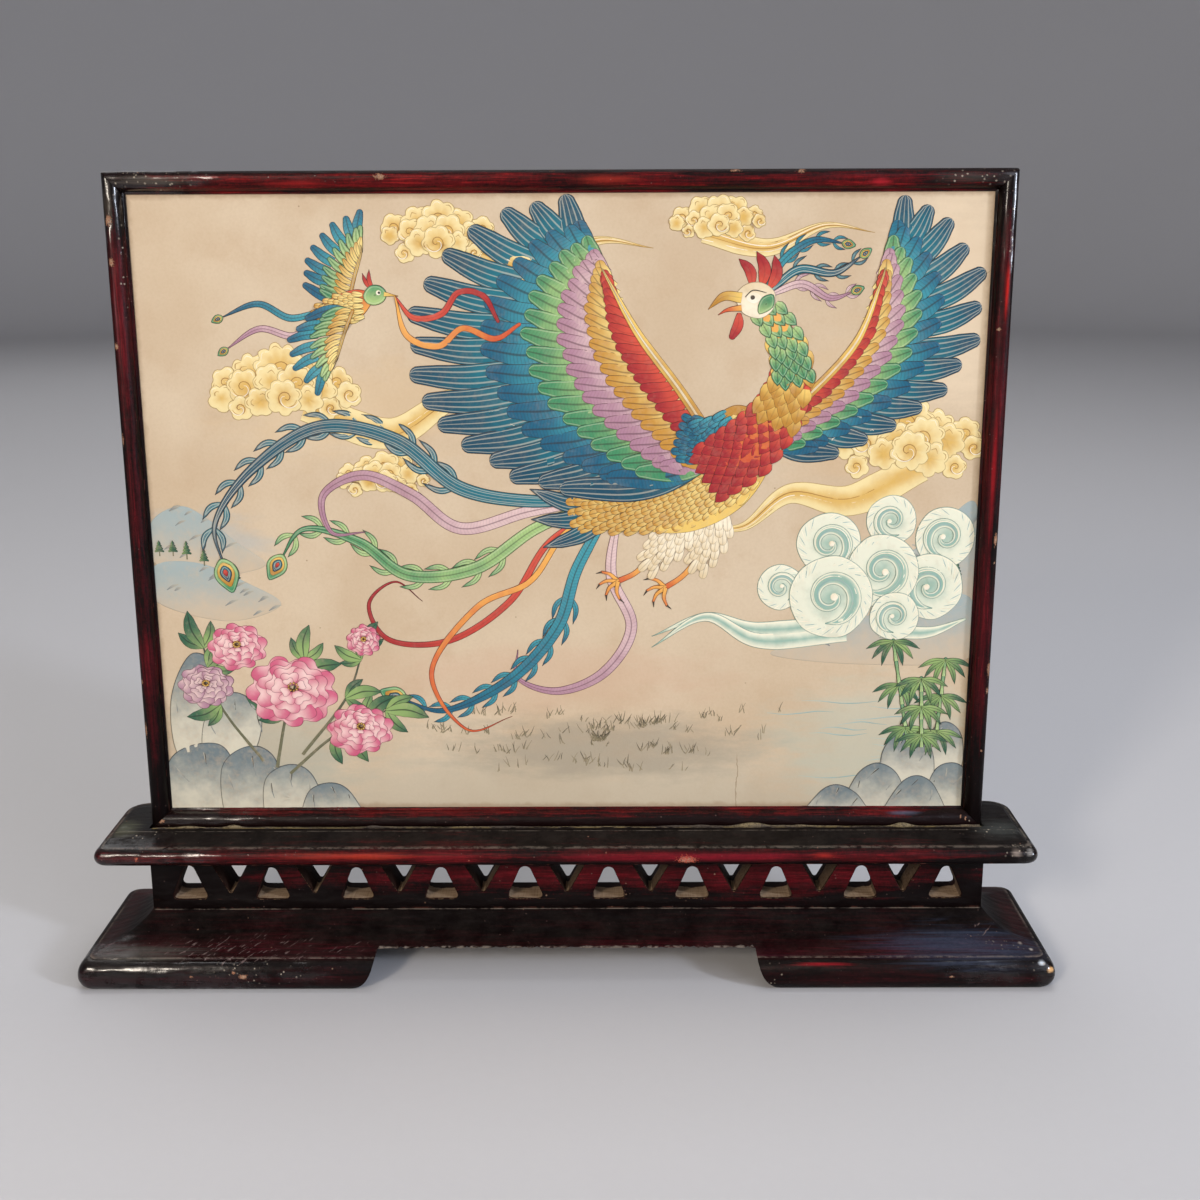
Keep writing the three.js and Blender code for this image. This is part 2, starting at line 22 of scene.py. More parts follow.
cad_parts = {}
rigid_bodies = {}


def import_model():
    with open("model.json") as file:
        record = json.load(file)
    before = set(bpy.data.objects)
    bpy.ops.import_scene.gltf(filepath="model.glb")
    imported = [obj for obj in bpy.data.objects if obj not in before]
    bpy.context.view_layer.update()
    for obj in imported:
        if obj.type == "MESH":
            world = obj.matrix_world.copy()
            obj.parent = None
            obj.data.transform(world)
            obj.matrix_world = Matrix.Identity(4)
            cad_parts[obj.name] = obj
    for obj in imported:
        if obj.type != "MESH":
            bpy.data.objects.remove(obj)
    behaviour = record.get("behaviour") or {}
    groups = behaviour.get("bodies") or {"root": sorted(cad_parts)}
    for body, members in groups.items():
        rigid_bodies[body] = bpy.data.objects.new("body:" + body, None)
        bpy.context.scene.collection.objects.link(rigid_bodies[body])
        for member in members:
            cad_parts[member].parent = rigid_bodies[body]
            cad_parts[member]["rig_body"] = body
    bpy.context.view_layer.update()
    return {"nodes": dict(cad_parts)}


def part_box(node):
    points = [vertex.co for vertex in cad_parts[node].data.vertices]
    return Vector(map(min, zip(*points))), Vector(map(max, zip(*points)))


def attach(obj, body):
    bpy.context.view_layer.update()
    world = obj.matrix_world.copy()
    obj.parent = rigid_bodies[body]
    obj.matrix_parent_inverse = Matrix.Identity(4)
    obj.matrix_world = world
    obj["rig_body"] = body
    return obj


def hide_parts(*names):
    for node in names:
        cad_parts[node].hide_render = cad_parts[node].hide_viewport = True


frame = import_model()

LOG = logging.getLogger("table_screen")
MM = 0.001
ROOT = "root"
Point = tuple[float, float]
Place = tuple[float, float, float]
Number = Union[float, "Wire"]


def lerp(a: complex, b: complex, t: float) -> complex:
    """The value a share t of the way from a to b."""
    return a + (b - a) * t


def linear(shade: int) -> tuple[float, float, float, float]:
    """Turns a colour written as 0xRRGGBB into the renderer's linear colour."""
    parts = [(shade >> shift & 0xFF) / 255 for shift in (16, 8, 0)]
    return (*(p / 12.92 if p <= 0.04045 else ((p + 0.055) / 1.055) ** 2.4 for p in parts), 1.0)


class Axis(Enum):
    """The way the wood's grain runs."""

    X = 0
    Y = 1
    Z = 2


class Wire:
    """A socket of a material's node tree, so that shader maths reads as Python maths."""

    def __init__(self, finish: "FinishTree", socket: bpy.types.NodeSocket) -> None:
        """Keeps the socket and the tree that it belongs to."""
        self.finish = finish
        self.socket = socket

    def _maths(self, operation: str, *values: Number) -> "Wire":
        """Adds a Math node with the stated operation on the values."""
        return self.finish.node("ShaderNodeMath", {"operation": operation}, dict(enumerate(values)))

    def __add__(self, other: Number) -> "Wire":
        """Sum."""
        return self._maths("ADD", self, other)

    __radd__ = __add__

    def __sub__(self, other: Number) -> "Wire":
        """Difference."""
        return self._maths("SUBTRACT", self, other)

    def __rsub__(self, other: Number) -> "Wire":
        """Difference, the other way round."""
        return self._maths("SUBTRACT", other, self)

    def __mul__(self, other: Number) -> "Wire":
        """Product."""
        return self._maths("MULTIPLY", self, other)

    __rmul__ = __mul__

    def __truediv__(self, other: Number) -> "Wire":
        """Quotient."""
        return self._maths("DIVIDE", self, other)

    def __neg__(self) -> "Wire":
        """Minus the value."""
        return self._maths("MULTIPLY", self, -1.0)

    def __abs__(self) -> "Wire":
        """The value without its sign."""
        return self._maths("ABSOLUTE", self)

    def power(self, exponent: float) -> "Wire":
        """The value raised to a power."""
        return self._maths("POWER", self, exponent)

    def at_most(self, other: Number) -> "Wire":
        """The smaller of two values."""
        return self._maths("MINIMUM", self, other)

    def at_least(self, other: Number) -> "Wire":
        """The larger of two values."""
        return self._maths("MAXIMUM", self, other)

    def between(self, low: float, high: float) -> "Wire":
        """Rises smoothly from 0 at low to 1 at high, or falls if high is the lower."""
        settings = {"interpolation_type": "SMOOTHSTEP"}
        rising = {"Value": self, "From Min": min(low, high), "From Max": max(low, high)}
        eased = self.finish.node("ShaderNodeMapRange", settings, rising)
        return eased if low <= high else 1 - eased


class FinishTree:
    """Builds the node tree of one material."""

    def __init__(self, name: str) -> None:
        """Makes an empty material of that name."""
        self.material = bpy.data.materials.new(name)
        self.material.use_nodes = True
        self.tree = self.material.node_tree
        self.tree.nodes.clear()
        self._place: Wire | None = None

    def node(self, kind: str, settings: dict | None = None, sockets: dict | None = None, out: int | str = 0) -> Wire:
        """Adds a node.

        Args:
            kind: the node's type.
            settings: properties set before its sockets; "stops" are a ramp's places and colours.
            sockets: values or wires by socket name or number.
            out: the output to return.

        Returns:
            The wire of that output.
        """
        made = self.tree.nodes.new(kind)
        for key, value in (settings or {}).items():
            if key == "stops":
                self._set_stops(made.color_ramp, value)
            else:
                setattr(made, key, value)
        for key, value in (sockets or {}).items():
            if isinstance(value, Wire):
                self.tree.links.new(value.socket, made.inputs[key])
            else:
                made.inputs[key].default_value = value
        return Wire(self, made.outputs[out])

    @staticmethod
    def _set_stops(ramp: bpy.types.ColorRamp, stops: Sequence[tuple[float, int]]) -> None:
        """Gives a colour ramp its stops."""
        while len(ramp.elements) < len(stops):
            ramp.elements.new(0.5)
        for element, (position, shade) in zip(ramp.elements, stops):
            element.position = position
            element.color = linear(shade)

    def place(self) -> Wire:
        """The surface's place in the object's own frame, in millimetres."""
        if self._place is None:
            raw = self.node("ShaderNodeTexCoord", out="Object")
            self._place = self.vector("SCALE", raw, scale=1 / MM)
        return self._place

    def vector(self, operation: str, a: Wire, b: Wire | Place | None = None, scale: Number | None = None,
               out: int | str = 0) -> Wire:
        """Vector maths on a and b, or a scaled."""
        sockets: dict = {0: a}
        if b is not None:
            sockets[1] = b
        if scale is not None:
            sockets["Scale"] = scale
        return self.node("ShaderNodeVectorMath", {"operation": operation}, sockets, out)

    def axes(self, vector: Wire) -> tuple[Wire, Wire, Wire]:
        """The three parts of a vector."""
        split = self.node("ShaderNodeSeparateXYZ", sockets={0: vector}).socket.node
        return tuple(Wire(self, split.outputs[i]) for i in range(3))

    def facing(self) -> tuple[Wire, Wire, Wire]:
        """The three parts of the surface's normal."""
        return self.axes(self.node("ShaderNodeNewGeometry", out="Normal"))

    def noise(self, size: Place | float, detail: float = 3.0, rough: float = 0.55, where: Wire | None = None,
              shift: Place = (0.0, 0.0, 0.0), warp: float = 0.0) -> Wire:
        """Noise with features of the given size in millimetres, alike or different along X, Y and Z."""
        sizes = (size, size, size) if isinstance(size, (int, float)) else size
        base = self.vector("ADD", where or self.place(), shift)
        scaled = self.vector("MULTIPLY", base, tuple(1 / s for s in sizes))
        sockets = {"Vector": scaled, "Scale": 1.0, "Detail": detail, "Roughness": rough, "Distortion": warp}
        return self.node("ShaderNodeTexNoise", {"noise_dimensions": "3D"}, sockets)

    def cells(self, size: float, feature: str = "F1", out: str = "Distance") -> Wire:
        """Cells about the given size across, in millimetres."""
        scaled = self.vector("SCALE", self.place(), scale=1 / size)
        return self.node("ShaderNodeTexVoronoi", {"feature": feature}, {"Vector": scaled, "Scale": 1.0}, out)

    def mark(self, name: str) -> Wire:
        """A number that the mesh carries at each of its points."""
        return self.node("ShaderNodeAttribute", {"attribute_name": name}, out="Fac")

    def spot(self, centre: Place, radius: float, ragged: Wire, stretch: Place = (1.0, 1.0, 1.0),
             core: float = 0.78) -> Wire:
        """A ragged patch at a place in millimetres, 1 in its core and 0 outside."""
        away = self.vector("SUBTRACT", self.place(), centre)
        away = self.vector("DIVIDE", away, stretch)
        distance = self.vector("LENGTH", away, out="Value")
        return (distance + (ragged - 0.5) * (1.6 * radius)).between(radius, radius * core)

    def mix(self, share: Number, a: Wire | int, b: Wire | int) -> Wire:
        """Mixes two colours, each a wire or written as 0xRRGGBB."""
        sockets = {0: share, 6: a if isinstance(a, Wire) else linear(a), 7: b if isinstance(b, Wire) else linear(b)}
        return self.node("ShaderNodeMix", {"data_type": "RGBA", "clamp_factor": True}, sockets, 2)

    def bump(self, height: Wire, depth: float, over: Wire | None = None, strength: float = 1.0) -> Wire:
        """A bump of the given depth in millimetres for a height from 0 to 1."""
        sockets = {"Height": height, "Distance": depth * MM, "Strength": strength}
        if over is not None:
            sockets["Normal"] = over
        return self.node("ShaderNodeBump", sockets=sockets)

    def shader(self, colour: Wire | int, roughness: Number, normal: Wire | None = None,
               metallic: Number = 0.0, **constants: float) -> Wire:
        """Adds a Principled shader."""
        sockets: dict = {
            "Base Color": colour if isinstance(colour, Wire) else linear(colour),
            "Roughness": roughness,
            "Metallic": metallic,
        }
        if normal is not None:
            sockets["Normal"] = normal
        for name, value in constants.items():
            sockets[name.replace("_", " ").title().replace("Ior", "IOR")] = value
        return self.node("ShaderNodeBsdfPrincipled", sockets=sockets)

    def finish(self, shader: Wire) -> bpy.types.Material:
        """Links a shader to the material's output and returns the material."""
        output = self.tree.nodes.new("ShaderNodeOutputMaterial")
        self.tree.links.new(shader.socket, output.inputs["Surface"])
        return self.material

    def close(self, colour: Wire | int, roughness: Number, normal: Wire | None = None,
              metallic: Number = 0.0, **constants: float) -> bpy.types.Material:
        """Ends the tree in one Principled shader and returns the material."""
        return self.finish(self.shader(colour, roughness, normal, metallic, **constants))


@dataclass(frozen=True)
class Chip:
    """A place on the lacquer and its size: a chip down to the wood, a scuff, a polished spot or a patch of flecks."""

    where: Place
    radius: float
    stretch: Place = (1.0, 1.0, 1.0)


@dataclass(frozen=True)
class TintAndSheen(Chip):
    """A patch over the lacquer with its colour and how much of it shows: some are the lacquer's own tints, dust and
    pale wear, others are painted sheens, painted reflections and painted highlights.
    """

    shade: int = 0x8C8A84
    strength: float = 0.3


@dataclass(frozen=True)
class Band:
    """A stretch of the surface round one coordinate, within a distance of the middle along the piece."""

    axis: Axis
    place: float
    reach: float
    strength: float = 1.0
    within: float = 0.0


@dataclass(frozen=True)
class Lacquer:
    """Thin red lacquer over wood with a black stain: rubbed to red on its edges, with painted shade that turns its
    grooves nearly black, and patches of painted sheen and painted highlight among its own tints, flecks, dust and wear.
    """

    name: str
    grain: Axis
    dark: int = 0x120505
    red: int = 0x5A080C
    bright: int = 0x8E1A1A
    bare: int = 0x8A6048
    dust: int = 0x80746B
    crust: int = 0x8A7A52
    redness: float = 0.0
    grained: float = 0.8
    dustiness: float = 0.2
    dullness: float = 0.42
    polish: float = 0.2
    warm: tuple[Band, ...] = ()
    rubbed: tuple[Band, ...] = ()
    worn_and_lit_arrises: tuple[Band, ...] = ()
    shaded_grooves: tuple[Band, ...] = ()
    seams: tuple[Band, ...] = ()
    chips: tuple[Chip, ...] = ()
    scuffs: tuple[Chip, ...] = ()
    scuff_slope: float = -48.0
    glossy: tuple[Chip, ...] = ()
    tints_and_sheens: tuple[TintAndSheen, ...] = ()
    specks: tuple[Chip, ...] = ()

    def _streaks(self, tree: FinishTree, length: float, width: float, shift: float, warp: float = 0.0) -> Wire:
        """Noise drawn out along the grain."""
        sizes = [width, width, width]
        sizes[self.grain.value] = length
        return tree.noise(tuple(sizes), 4.0, 0.6, shift=(shift, shift, shift), warp=warp)

    @staticmethod
    def _band(parts: tuple[Wire, Wire, Wire], band: Band) -> Wire:
        """How near a point is to a band's coordinate, from 0 to the band's strength."""
        near = abs(parts[band.axis.value] - band.place).between(band.reach, 0.0) * band.strength
        return near * abs(parts[0]).between(band.within, band.within - 1) if band.within else near

    def make(self) -> bpy.types.Material:
        """Builds the material."""
        tree = FinishTree(self.name)
        parts = tree.axes(tree.place())
        fine = self._streaks(tree, 10.0, 0.5, 3.0, 0.6)
        broad = self._streaks(tree, 30.0, 1.6, 17.0, 0.8)
        scratch = self._streaks(tree, 13.0, 0.16, 29.0)
        clouds = tree.noise(32.0, 2.0, shift=(5.0, 9.0, 2.0))
        ragged = tree.noise(1.1, 3.0, 0.7)
        crumbs = tree.noise(0.5, 3.0, 0.7)
        coarse = tree.noise(5.0, 2.0, 0.6, shift=(11.0, 4.0, 7.0))
        swells = [2.6, 2.6, 2.6]
        swells[self.grain.value] = 7.0
        brushed = tree.noise(tuple(swells), 1.0, 0.4, shift=(41.0, 17.0, 5.0))
        glow: Wire | float = self.redness
        for band in self.warm:
            glow = self._band(parts, band) + glow
        lean = fine * self.grained * 1.3 + broad * 1.1 + clouds - (self.grained * 1.3 + 2.1) / 2 + glow
        lean = lean + (ragged + crumbs * 0.7 - 0.85) * 0.5
        colour = tree.mix(lean.between(-0.22, 0.36), self.dark, self.red)
        colour = tree.mix((lean + fine - 0.5).between(0.24, 0.72) * 0.8, colour, self.bright)
        colour = tree.mix(scratch.between(0.55, 0.68) * 0.6 * self.grained, colour, self.dark)
        # Painted shade: along the shaded grooves the colour goes to near black, where shade falls in the creases.
        for band in self.shaded_grooves:
            colour = tree.mix(self._band(parts, band).between(0.1, 0.7) * 0.9, colour, self.dark)
        worn = (scratch - 0.6).between(0.1, 0.2) * (coarse - 0.45).between(0.05, 0.2) * 0.5
        for band in self.rubbed:
            line = self._band(parts, band).between(0.1, 0.8)
            worn = worn.at_least(line * (ragged * 0.6 + coarse * 0.9 - 0.78).between(0.0, 0.12) * band.strength)
        bare = tree.cells(3.4).between(0.1, 0.05) * (coarse - 0.5).between(0.08, 0.16) * 0.6
        jagged = crumbs * 2.0 - 0.5
        for chip in self.chips:
            bare = bare.at_least(tree.spot(chip.where, chip.radius, jagged, chip.stretch))
        colour = tree.mix(worn * 0.8, colour, tree.mix(coarse.between(0.4, 0.6), 0x5E2018, 0x704438))
        colour = tree.mix(bare, colour, tree.mix(crumbs.between(0.4, 0.6), self.bare, 0xA88C76))
        # Patches laid over the colour: the lacquer's own tints, dust and wear, and painted sheen, painted reflection
        # and painted highlight.
        for tint_and_sheen in self.tints_and_sheens:
            haze_and_sheen = tree.spot(tint_and_sheen.where, tint_and_sheen.radius, broad, tint_and_sheen.stretch, core=0.0) * (fine * 0.5 + ragged * 0.6 + 0.45) * tint_and_sheen.strength
            colour = tree.mix(haze_and_sheen, colour, tint_and_sheen.shade)
        if self.scuffs:
            slant = tree.node("ShaderNodeVectorRotate", {"rotation_type": "Z_AXIS"},
                              {"Vector": tree.place(), "Angle": math.radians(self.scuff_slope)})
            strokes = tree.noise((3.4, 0.7, 3.4), 2.0, 0.5, slant).between(0.6, 0.66)
            rubbed: Wire | float = strokes * 0.0
            for scuff in self.scuffs:
                rubbed = rubbed.at_least(tree.spot(scuff.where, scuff.radius, coarse, scuff.stretch, core=0.0))
            colour = tree.mix(rubbed.between(0.0, 0.5) * strokes * 0.62, colour, 0x84706C)
        # Pale lines along arrises: worn, dusty edges, and partly a painted highlight along the edge.
        for band in self.worn_and_lit_arrises:
            pale = self._band(parts, band).between(0.1, 0.9) * (ragged + coarse - 0.82).between(0.0, 0.3)
            colour = tree.mix(pale * 0.75, colour, 0x8E8478)
        grit = (tree.cells(2.3) + ragged * 0.16).between(0.18, 0.12) * (coarse - 0.4).between(0.0, 0.25)
        colour = tree.mix(grit * 0.4, colour, 0x8C7068)
        up = tree.facing()[2].between(0.55, 0.98)
        film = up * (tree.noise(7.0, 4.0, 0.65) * 0.9 + ragged * 0.35).between(0.4, 0.9) * self.dustiness
        crust: Wire | float = film * 0.0
        for band in self.seams:
            seam = self._band(parts, band).between(0.05, 0.6) * up * (ragged * 0.7 + coarse - 0.75).between(-0.1, 0.2)
            crust = crust.at_least(seam * band.strength)
        colour = tree.mix(film, colour, self.dust)
        colour = tree.mix(crust, colour, tree.mix(coarse.between(0.4, 0.6), self.dust, self.crust))
        crumb = (tree.cells(1.6) + crumbs * 0.3).between(0.38, 0.27) * 0.62
        # Cream flecks of dust and old lacquer; at the top left corner, along the stiles and on the shelf's tip they are
        # painted glints that break up the highlights.
        for chip in self.specks:
            colour = tree.mix(tree.spot(chip.where, chip.radius, coarse, chip.stretch, core=0.2) * crumb, colour, 0xB4A896)
        gloss: Wire | float = coarse * 0.0
        for chip in self.glossy:
            gloss = gloss.at_least(tree.spot(chip.where, chip.radius, coarse, chip.stretch, core=0.3))
        gloss = gloss * (1 - bare * 0.9) * (1 - film) * (1 - crust) * (fine + brushed * 0.8 + crumbs * 0.9 - 0.9).between(0.05, 0.42)
        nibs = tree.cells(0.9).between(0.3, 0.08) * (coarse - 0.4).between(0.0, 0.2)
        rough = self.dullness + clouds * 0.1 + worn * 0.2 + (film + crust) * 0.5 + bare * 0.4 + up * 0.1
        calm = tree.bump(brushed + coarse * 0.4 + ragged * 0.04, 0.36)
        calm = tree.bump(1 - bare, 0.14, calm)
        normal = tree.bump(fine * 0.5 + scratch * 0.4, 0.012, calm)
        normal = tree.bump(ragged + grit + nibs, 0.05, normal)
        normal = tree.bump(crust, 0.4, normal)
        dull = tree.shader(colour, rough.at_most(0.95), normal, specular_ior_level=0.12)
        shiny = tree.shader(colour, self.polish, calm, specular_ior_level=0.5)
        return tree.finish(tree.node("ShaderNodeMixShader", sockets={0: (gloss + nibs * 0.4).at_most(1.0), 1: dull, 2: shiny}))


@dataclass(frozen=True)
class SawnWood:
    """Pale wood left bare inside the pierced openings, with lacquer slopped over its front edges, a dark band with a
    zigzag edge along the back of each sill, and painted shade on the walls that don't face up.
    """

    name: str
    half_thickness: float
    light: int = 0xAA937A
    deep: int = 0x7A624A

    def make(self) -> bpy.types.Material:
        """Builds the material."""
        tree = FinishTree(self.name)
        x, y, z = tree.axes(tree.place())
        grain = tree.noise((9.0, 0.7, 0.7), 4.0, 0.6)
        saw = tree.noise((0.35, 8.0, 0.8), 2.0, 0.6)
        colour = tree.mix((grain * 0.8 + saw * 0.3).between(0.35, 0.8), self.light, self.deep)
        sideways, outwards, up = tree.facing()
        ragged = tree.noise(3.2, 3.0, 0.6)
        crumbs = tree.noise(0.7, 3.0, 0.7)
        from_front = y + self.half_thickness
        from_back = self.half_thickness - y
        fold = tree.node("ShaderNodeMath", {"operation": "PINGPONG"}, {0: x + 6.5, 1: 6.5})
        slop_front = (from_front + 0.2 - ragged * 1.3).between(0.55, 0.1)
        # A dark band with a zigzag edge along the back of each sill.
        dark_back_band = (from_back - (ragged - 0.5) * 2.2 - fold * 0.28).between(3.0, 2.2)
        # Painted shade: walls that don't face up go dark, the ones that face right darkest.
        shade = (up + ragged * 0.5).between(1.15, 0.85) * (sideways.between(-0.5, 0.2) * 0.3 + 0.66)
        slopped_and_shaded = slop_front.at_least(dark_back_band).at_least(shade)
        colour = tree.mix(slopped_and_shaded, colour, tree.mix(ragged, 0x120605, 0x2A0F0C))
        frayed = outwards.between(-0.1, -0.3) * up.between(0.2, 0.5) * crumbs.between(0.5, 0.58)
        colour = tree.mix(frayed * 0.7, colour, 0xA08464)
        rough = 0.9 - slopped_and_shaded * 0.1
        normal = tree.bump(saw * 0.7 + grain * 0.5, 0.12)
        return tree.close(colour, rough, normal, specular_ior_level=0.08)


@dataclass(frozen=True)
class Wash:
    """A soft-edged wash: its middle and half sizes on the plaque, colour and strength. Most are watercolour tints; one
    is a painted pool of light.
    """

    middle: complex
    half: complex
    shade: int
    strength: float


@dataclass(frozen=True)
class CreamStone:
    """Honed cream stone with watercolour washes, one pale wash that is a painted pool of light, darker colour along the
    frame's sight edge and a few hairline cracks.
    """

    name: str
    middle_height: float
    washes: tuple[Wash, ...]
    body: int = 0xC6B092
    warm: int = 0xBCA07F
    pale: int = 0xD0BDA1

    def make(self) -> bpy.types.Material:
        """Builds the material."""
        tree = FinishTree(self.name)
        x, y, z = tree.axes(tree.place())
        v = z - self.middle_height
        clouds = tree.noise(46.0, 3.0, 0.55)
        mottle = tree.noise(11.0, 4.0, 0.6, shift=(3.0, 1.0, 8.0))
        grains = tree.noise(0.8, 3.0, 0.6)
        colour = tree.mix(clouds.between(0.35, 0.65), self.body, self.pale)
        colour = tree.mix(mottle.between(0.5, 0.75) * 0.35, colour, self.warm)
        colour = tree.mix(grains.between(0.3, 0.8) * 0.14, colour, 0xA98E6C)
        brushed = tree.noise((16.0, 16.0, 5.0), 4.0, 0.65, shift=(9.0, 2.0, 5.0))
        for wash in self.washes:
            across = (x - wash.middle.real) * (1 / wash.half.real)
            up = (v - wash.middle.imag) * (1 / wash.half.imag)
            away = (across * across + up * up).power(0.5) + (brushed - 0.5) * 1.1
            colour = tree.mix(away.between(1.0, 0.35) * wash.strength, colour, wash.shade)
        specks = tree.cells(11.0).between(0.03, 0.012)
        colour = tree.mix(specks * 0.55, colour, 0x77573A)
        frame_darkening = self._darker_by_frame(tree, x, v)
        colour = tree.mix(frame_darkening * 0.45, colour, 0x8A6A48)
        for crack in self._cracks(tree, x, v):
            colour = tree.mix(crack, colour, 0x84694C)
        rough = 0.46 + mottle * 0.12
        normal = tree.bump(grains * 0.5 + mottle * 0.6, 0.05)
        normal = tree.bump(tree.noise(16.0, 2.0, 0.5), 0.18, normal)
        return tree.close(colour, rough, normal, specular_ior_level=0.45, subsurface_weight=0.0)

    @staticmethod
    def _darker_by_frame(tree: FinishTree, x: Wire, v: Wire) -> Wire:
        """Darker colour in a ragged band along the frame's sight edge."""
        half_width = 121.3
        half_height = 91.1
        ragged = tree.noise(4.0, 3.0, 0.6) * 2.2
        from_side = half_width - abs(x)
        from_end = half_height - abs(v)
        return (from_side.at_most(from_end) - ragged).between(0.8, -0.9)

    @staticmethod
    def _cracks(tree: FinishTree, x: Wire, v: Wire) -> list[Wire]:
        """Two hairline cracks: one up from the lower edge, one in from the right edge."""
        wander = (tree.noise(6.0, 3.0, 0.6) - 0.5) * 3.4
        upright = abs(x - 50.5 + v * 0.02 + wander).between(0.24, 0.08) * v.between(-73.0, -78.0) * 0.6
        sloping = abs(v - 58.0 - (x - 108.0) * 0.9 + wander).between(0.2, 0.06) * x.between(106.0, 110.0) * 0.45
        return [upright, sloping]


class Bench:
    """A few hand tools round bpy.ops. Sizes are in millimetres."""

    @staticmethod
    def free(*chosen: bpy.types.Object) -> None:
        """Deselects everything, then selects the chosen objects and makes the last one active."""
        for obj in bpy.context.view_layer.objects:
            obj.select_set(False)
        for obj in chosen:
            obj.select_set(True)
            bpy.context.view_layer.objects.active = obj

    @staticmethod
    def box(name: str, low: Place, high: Place) -> bpy.types.Object:
        """A box between two corners, as the start of a piece."""
        Bench.free()
        middle = [(a + b) / 2 * MM for a, b in zip(low, high)]
        sizes = [(b - a) * MM for a, b in zip(low, high)]
        bpy.ops.mesh.primitive_cube_add(size=1.0, location=middle, scale=sizes)
        obj = bpy.context.active_object
        obj.name = name
        obj.data.name = name
        bpy.ops.object.transform_apply(location=True, rotation=True, scale=True)
        return obj

    @staticmethod
    def edit(obj: bpy.types.Object, mode: str) -> None:
        """Opens a mesh in edit mode with nothing selected."""
        Bench.free(obj)
        bpy.ops.object.mode_set(mode="EDIT")
        bpy.ops.mesh.select_mode(type=mode)
        bpy.ops.mesh.select_all(action="DESELECT")

    @staticmethod
    def done() -> None:
        """Leaves edit mode."""
        bpy.ops.object.mode_set(mode="OBJECT")

    @staticmethod
    def pick(obj: bpy.types.Object, kind: str, test: Callable[..., bool]) -> int:
        """Selects faces or edges that pass a test, and returns how many."""
        mesh = bmesh.from_edit_mesh(obj.data)
        chosen = [item for item in getattr(mesh, kind) if test(item)]
        for item in chosen:
            item.select_set(True)
        bmesh.update_edit_mesh(obj.data)
        return len(chosen)

    @staticmethod
    def round_edges(obj: bpy.types.Object, test: Callable[..., bool], radius: float, segments: int) -> None:
        """Rounds the edges that pass a test."""
        Bench.edit(obj, "EDGE")
        if Bench.pick(obj, "edges", test):
            bpy.ops.mesh.bevel(offset=radius * MM, segments=segments, profile=0.5, affect="EDGES")
        Bench.done()

    @staticmethod
    def apply(obj: bpy.types.Object, kind: str, **settings: object) -> None:
        """Adds a modifier, sets it and applies it."""
        Bench.free(obj)
        modifier = obj.modifiers.new(kind.title(), kind)
        for key, value in settings.items():
            setattr(modifier, key, value)
        bpy.ops.object.modifier_apply(modifier=modifier.name)

    @staticmethod
    def cut(obj: bpy.types.Object, tool: bpy.types.Object, keep_tool: bool = False) -> None:
        """Cuts one object out of another."""
        Bench.apply(obj, "BOOLEAN", object=tool, operation="DIFFERENCE", solver="EXACT")
        if not keep_tool:
            bpy.data.objects.remove(tool, do_unlink=True)

    @staticmethod
    def join_solid(obj: bpy.types.Object, other: bpy.types.Object) -> None:
        """Joins one solid to another."""
        Bench.apply(obj, "BOOLEAN", object=other, operation="UNION", solver="EXACT")
        bpy.data.objects.remove(other, do_unlink=True)

    @staticmethod
    def group(objects: Sequence[bpy.types.Object]) -> bpy.types.Object:
        """Makes one object of several that don't touch."""
        Bench.free(*objects)
        bpy.ops.object.join()
        return bpy.context.active_object

    @staticmethod
    def slice(obj: bpy.types.Object, place: Place, normal: Place, clear: bool = False) -> None:
        """Cuts a mesh through by a plane, and takes off what lies on the normal's side if asked."""
        Bench.edit(obj, "FACE")
        bpy.ops.mesh.select_all(action="SELECT")
        bpy.ops.mesh.bisect(
            plane_co=[p * MM for p in place], plane_no=normal, use_fill=clear, clear_outer=clear,
        )
        Bench.done()

    @staticmethod
    def turn(obj: bpy.types.Object, angle: float) -> None:
        """Turns a finished mesh about the Y axis, as seen from the front."""
        obj.rotation_euler = (0.0, angle, 0.0)
        Bench.free(obj)
        bpy.ops.object.transform_apply(location=True, rotation=True, scale=True)

    @staticmethod
    def shift(obj: bpy.types.Object, by: Place) -> None:
        """Moves a finished mesh."""
        obj.location = [b * MM for b in by]
        Bench.free(obj)
        bpy.ops.object.transform_apply(location=True, rotation=True, scale=True)

    @staticmethod
    def soften(obj: bpy.types.Object, width: float, segments: int = 2, angle: float = 35.0) -> None:
        """Rounds every arris a little and shades the rest smooth."""
        Bench.apply(obj, "BEVEL", width=width * MM, segments=segments, limit_method="ANGLE",
                    angle_limit=math.radians(angle), use_clamp_overlap=True, harden_normals=False)
        Bench.smooth(obj)

    @staticmethod
    def smooth(obj: bpy.types.Object, angle: float = 32.0) -> None:
        """Shades smooth, except over sharp edges."""
        Bench.free(obj)
        bpy.ops.object.shade_smooth_by_angle(angle=math.radians(angle))

    @staticmethod
    def dress(obj: bpy.types.Object, material: bpy.types.Material, slot: str) -> None:
        """Gives a piece its material, and lets it ride on the part."""
        obj.data.materials.clear()
        obj.data.materials.append(material)
        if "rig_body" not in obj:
            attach(obj, ROOT)
        LOG.info("%s: %d faces", obj.name, len(obj.data.polygons))


@dataclass(frozen=True)
class Level:
    """One height of a moulding, and how far its outline stands in at the ends and at the front."""

    z: float
    end: float
    front: float


def half_round(height: float, swell: float, steps: int = 14, sweep: float = 160.0) -> list[Level]:
    """Levels of a half-round edge, from its foot to its head."""
    half_sweep = math.radians(sweep) / 2
    levels = []
    for i in range(steps + 1):
        turn = (2 * i / steps - 1) * half_sweep
        inset = swell * (1 - math.cos(turn)) / (1 - math.cos(half_sweep))
        levels.append(Level(height / 2 * (1 + math.sin(turn) / math.sin(half_sweep)), inset, inset))
    return levels


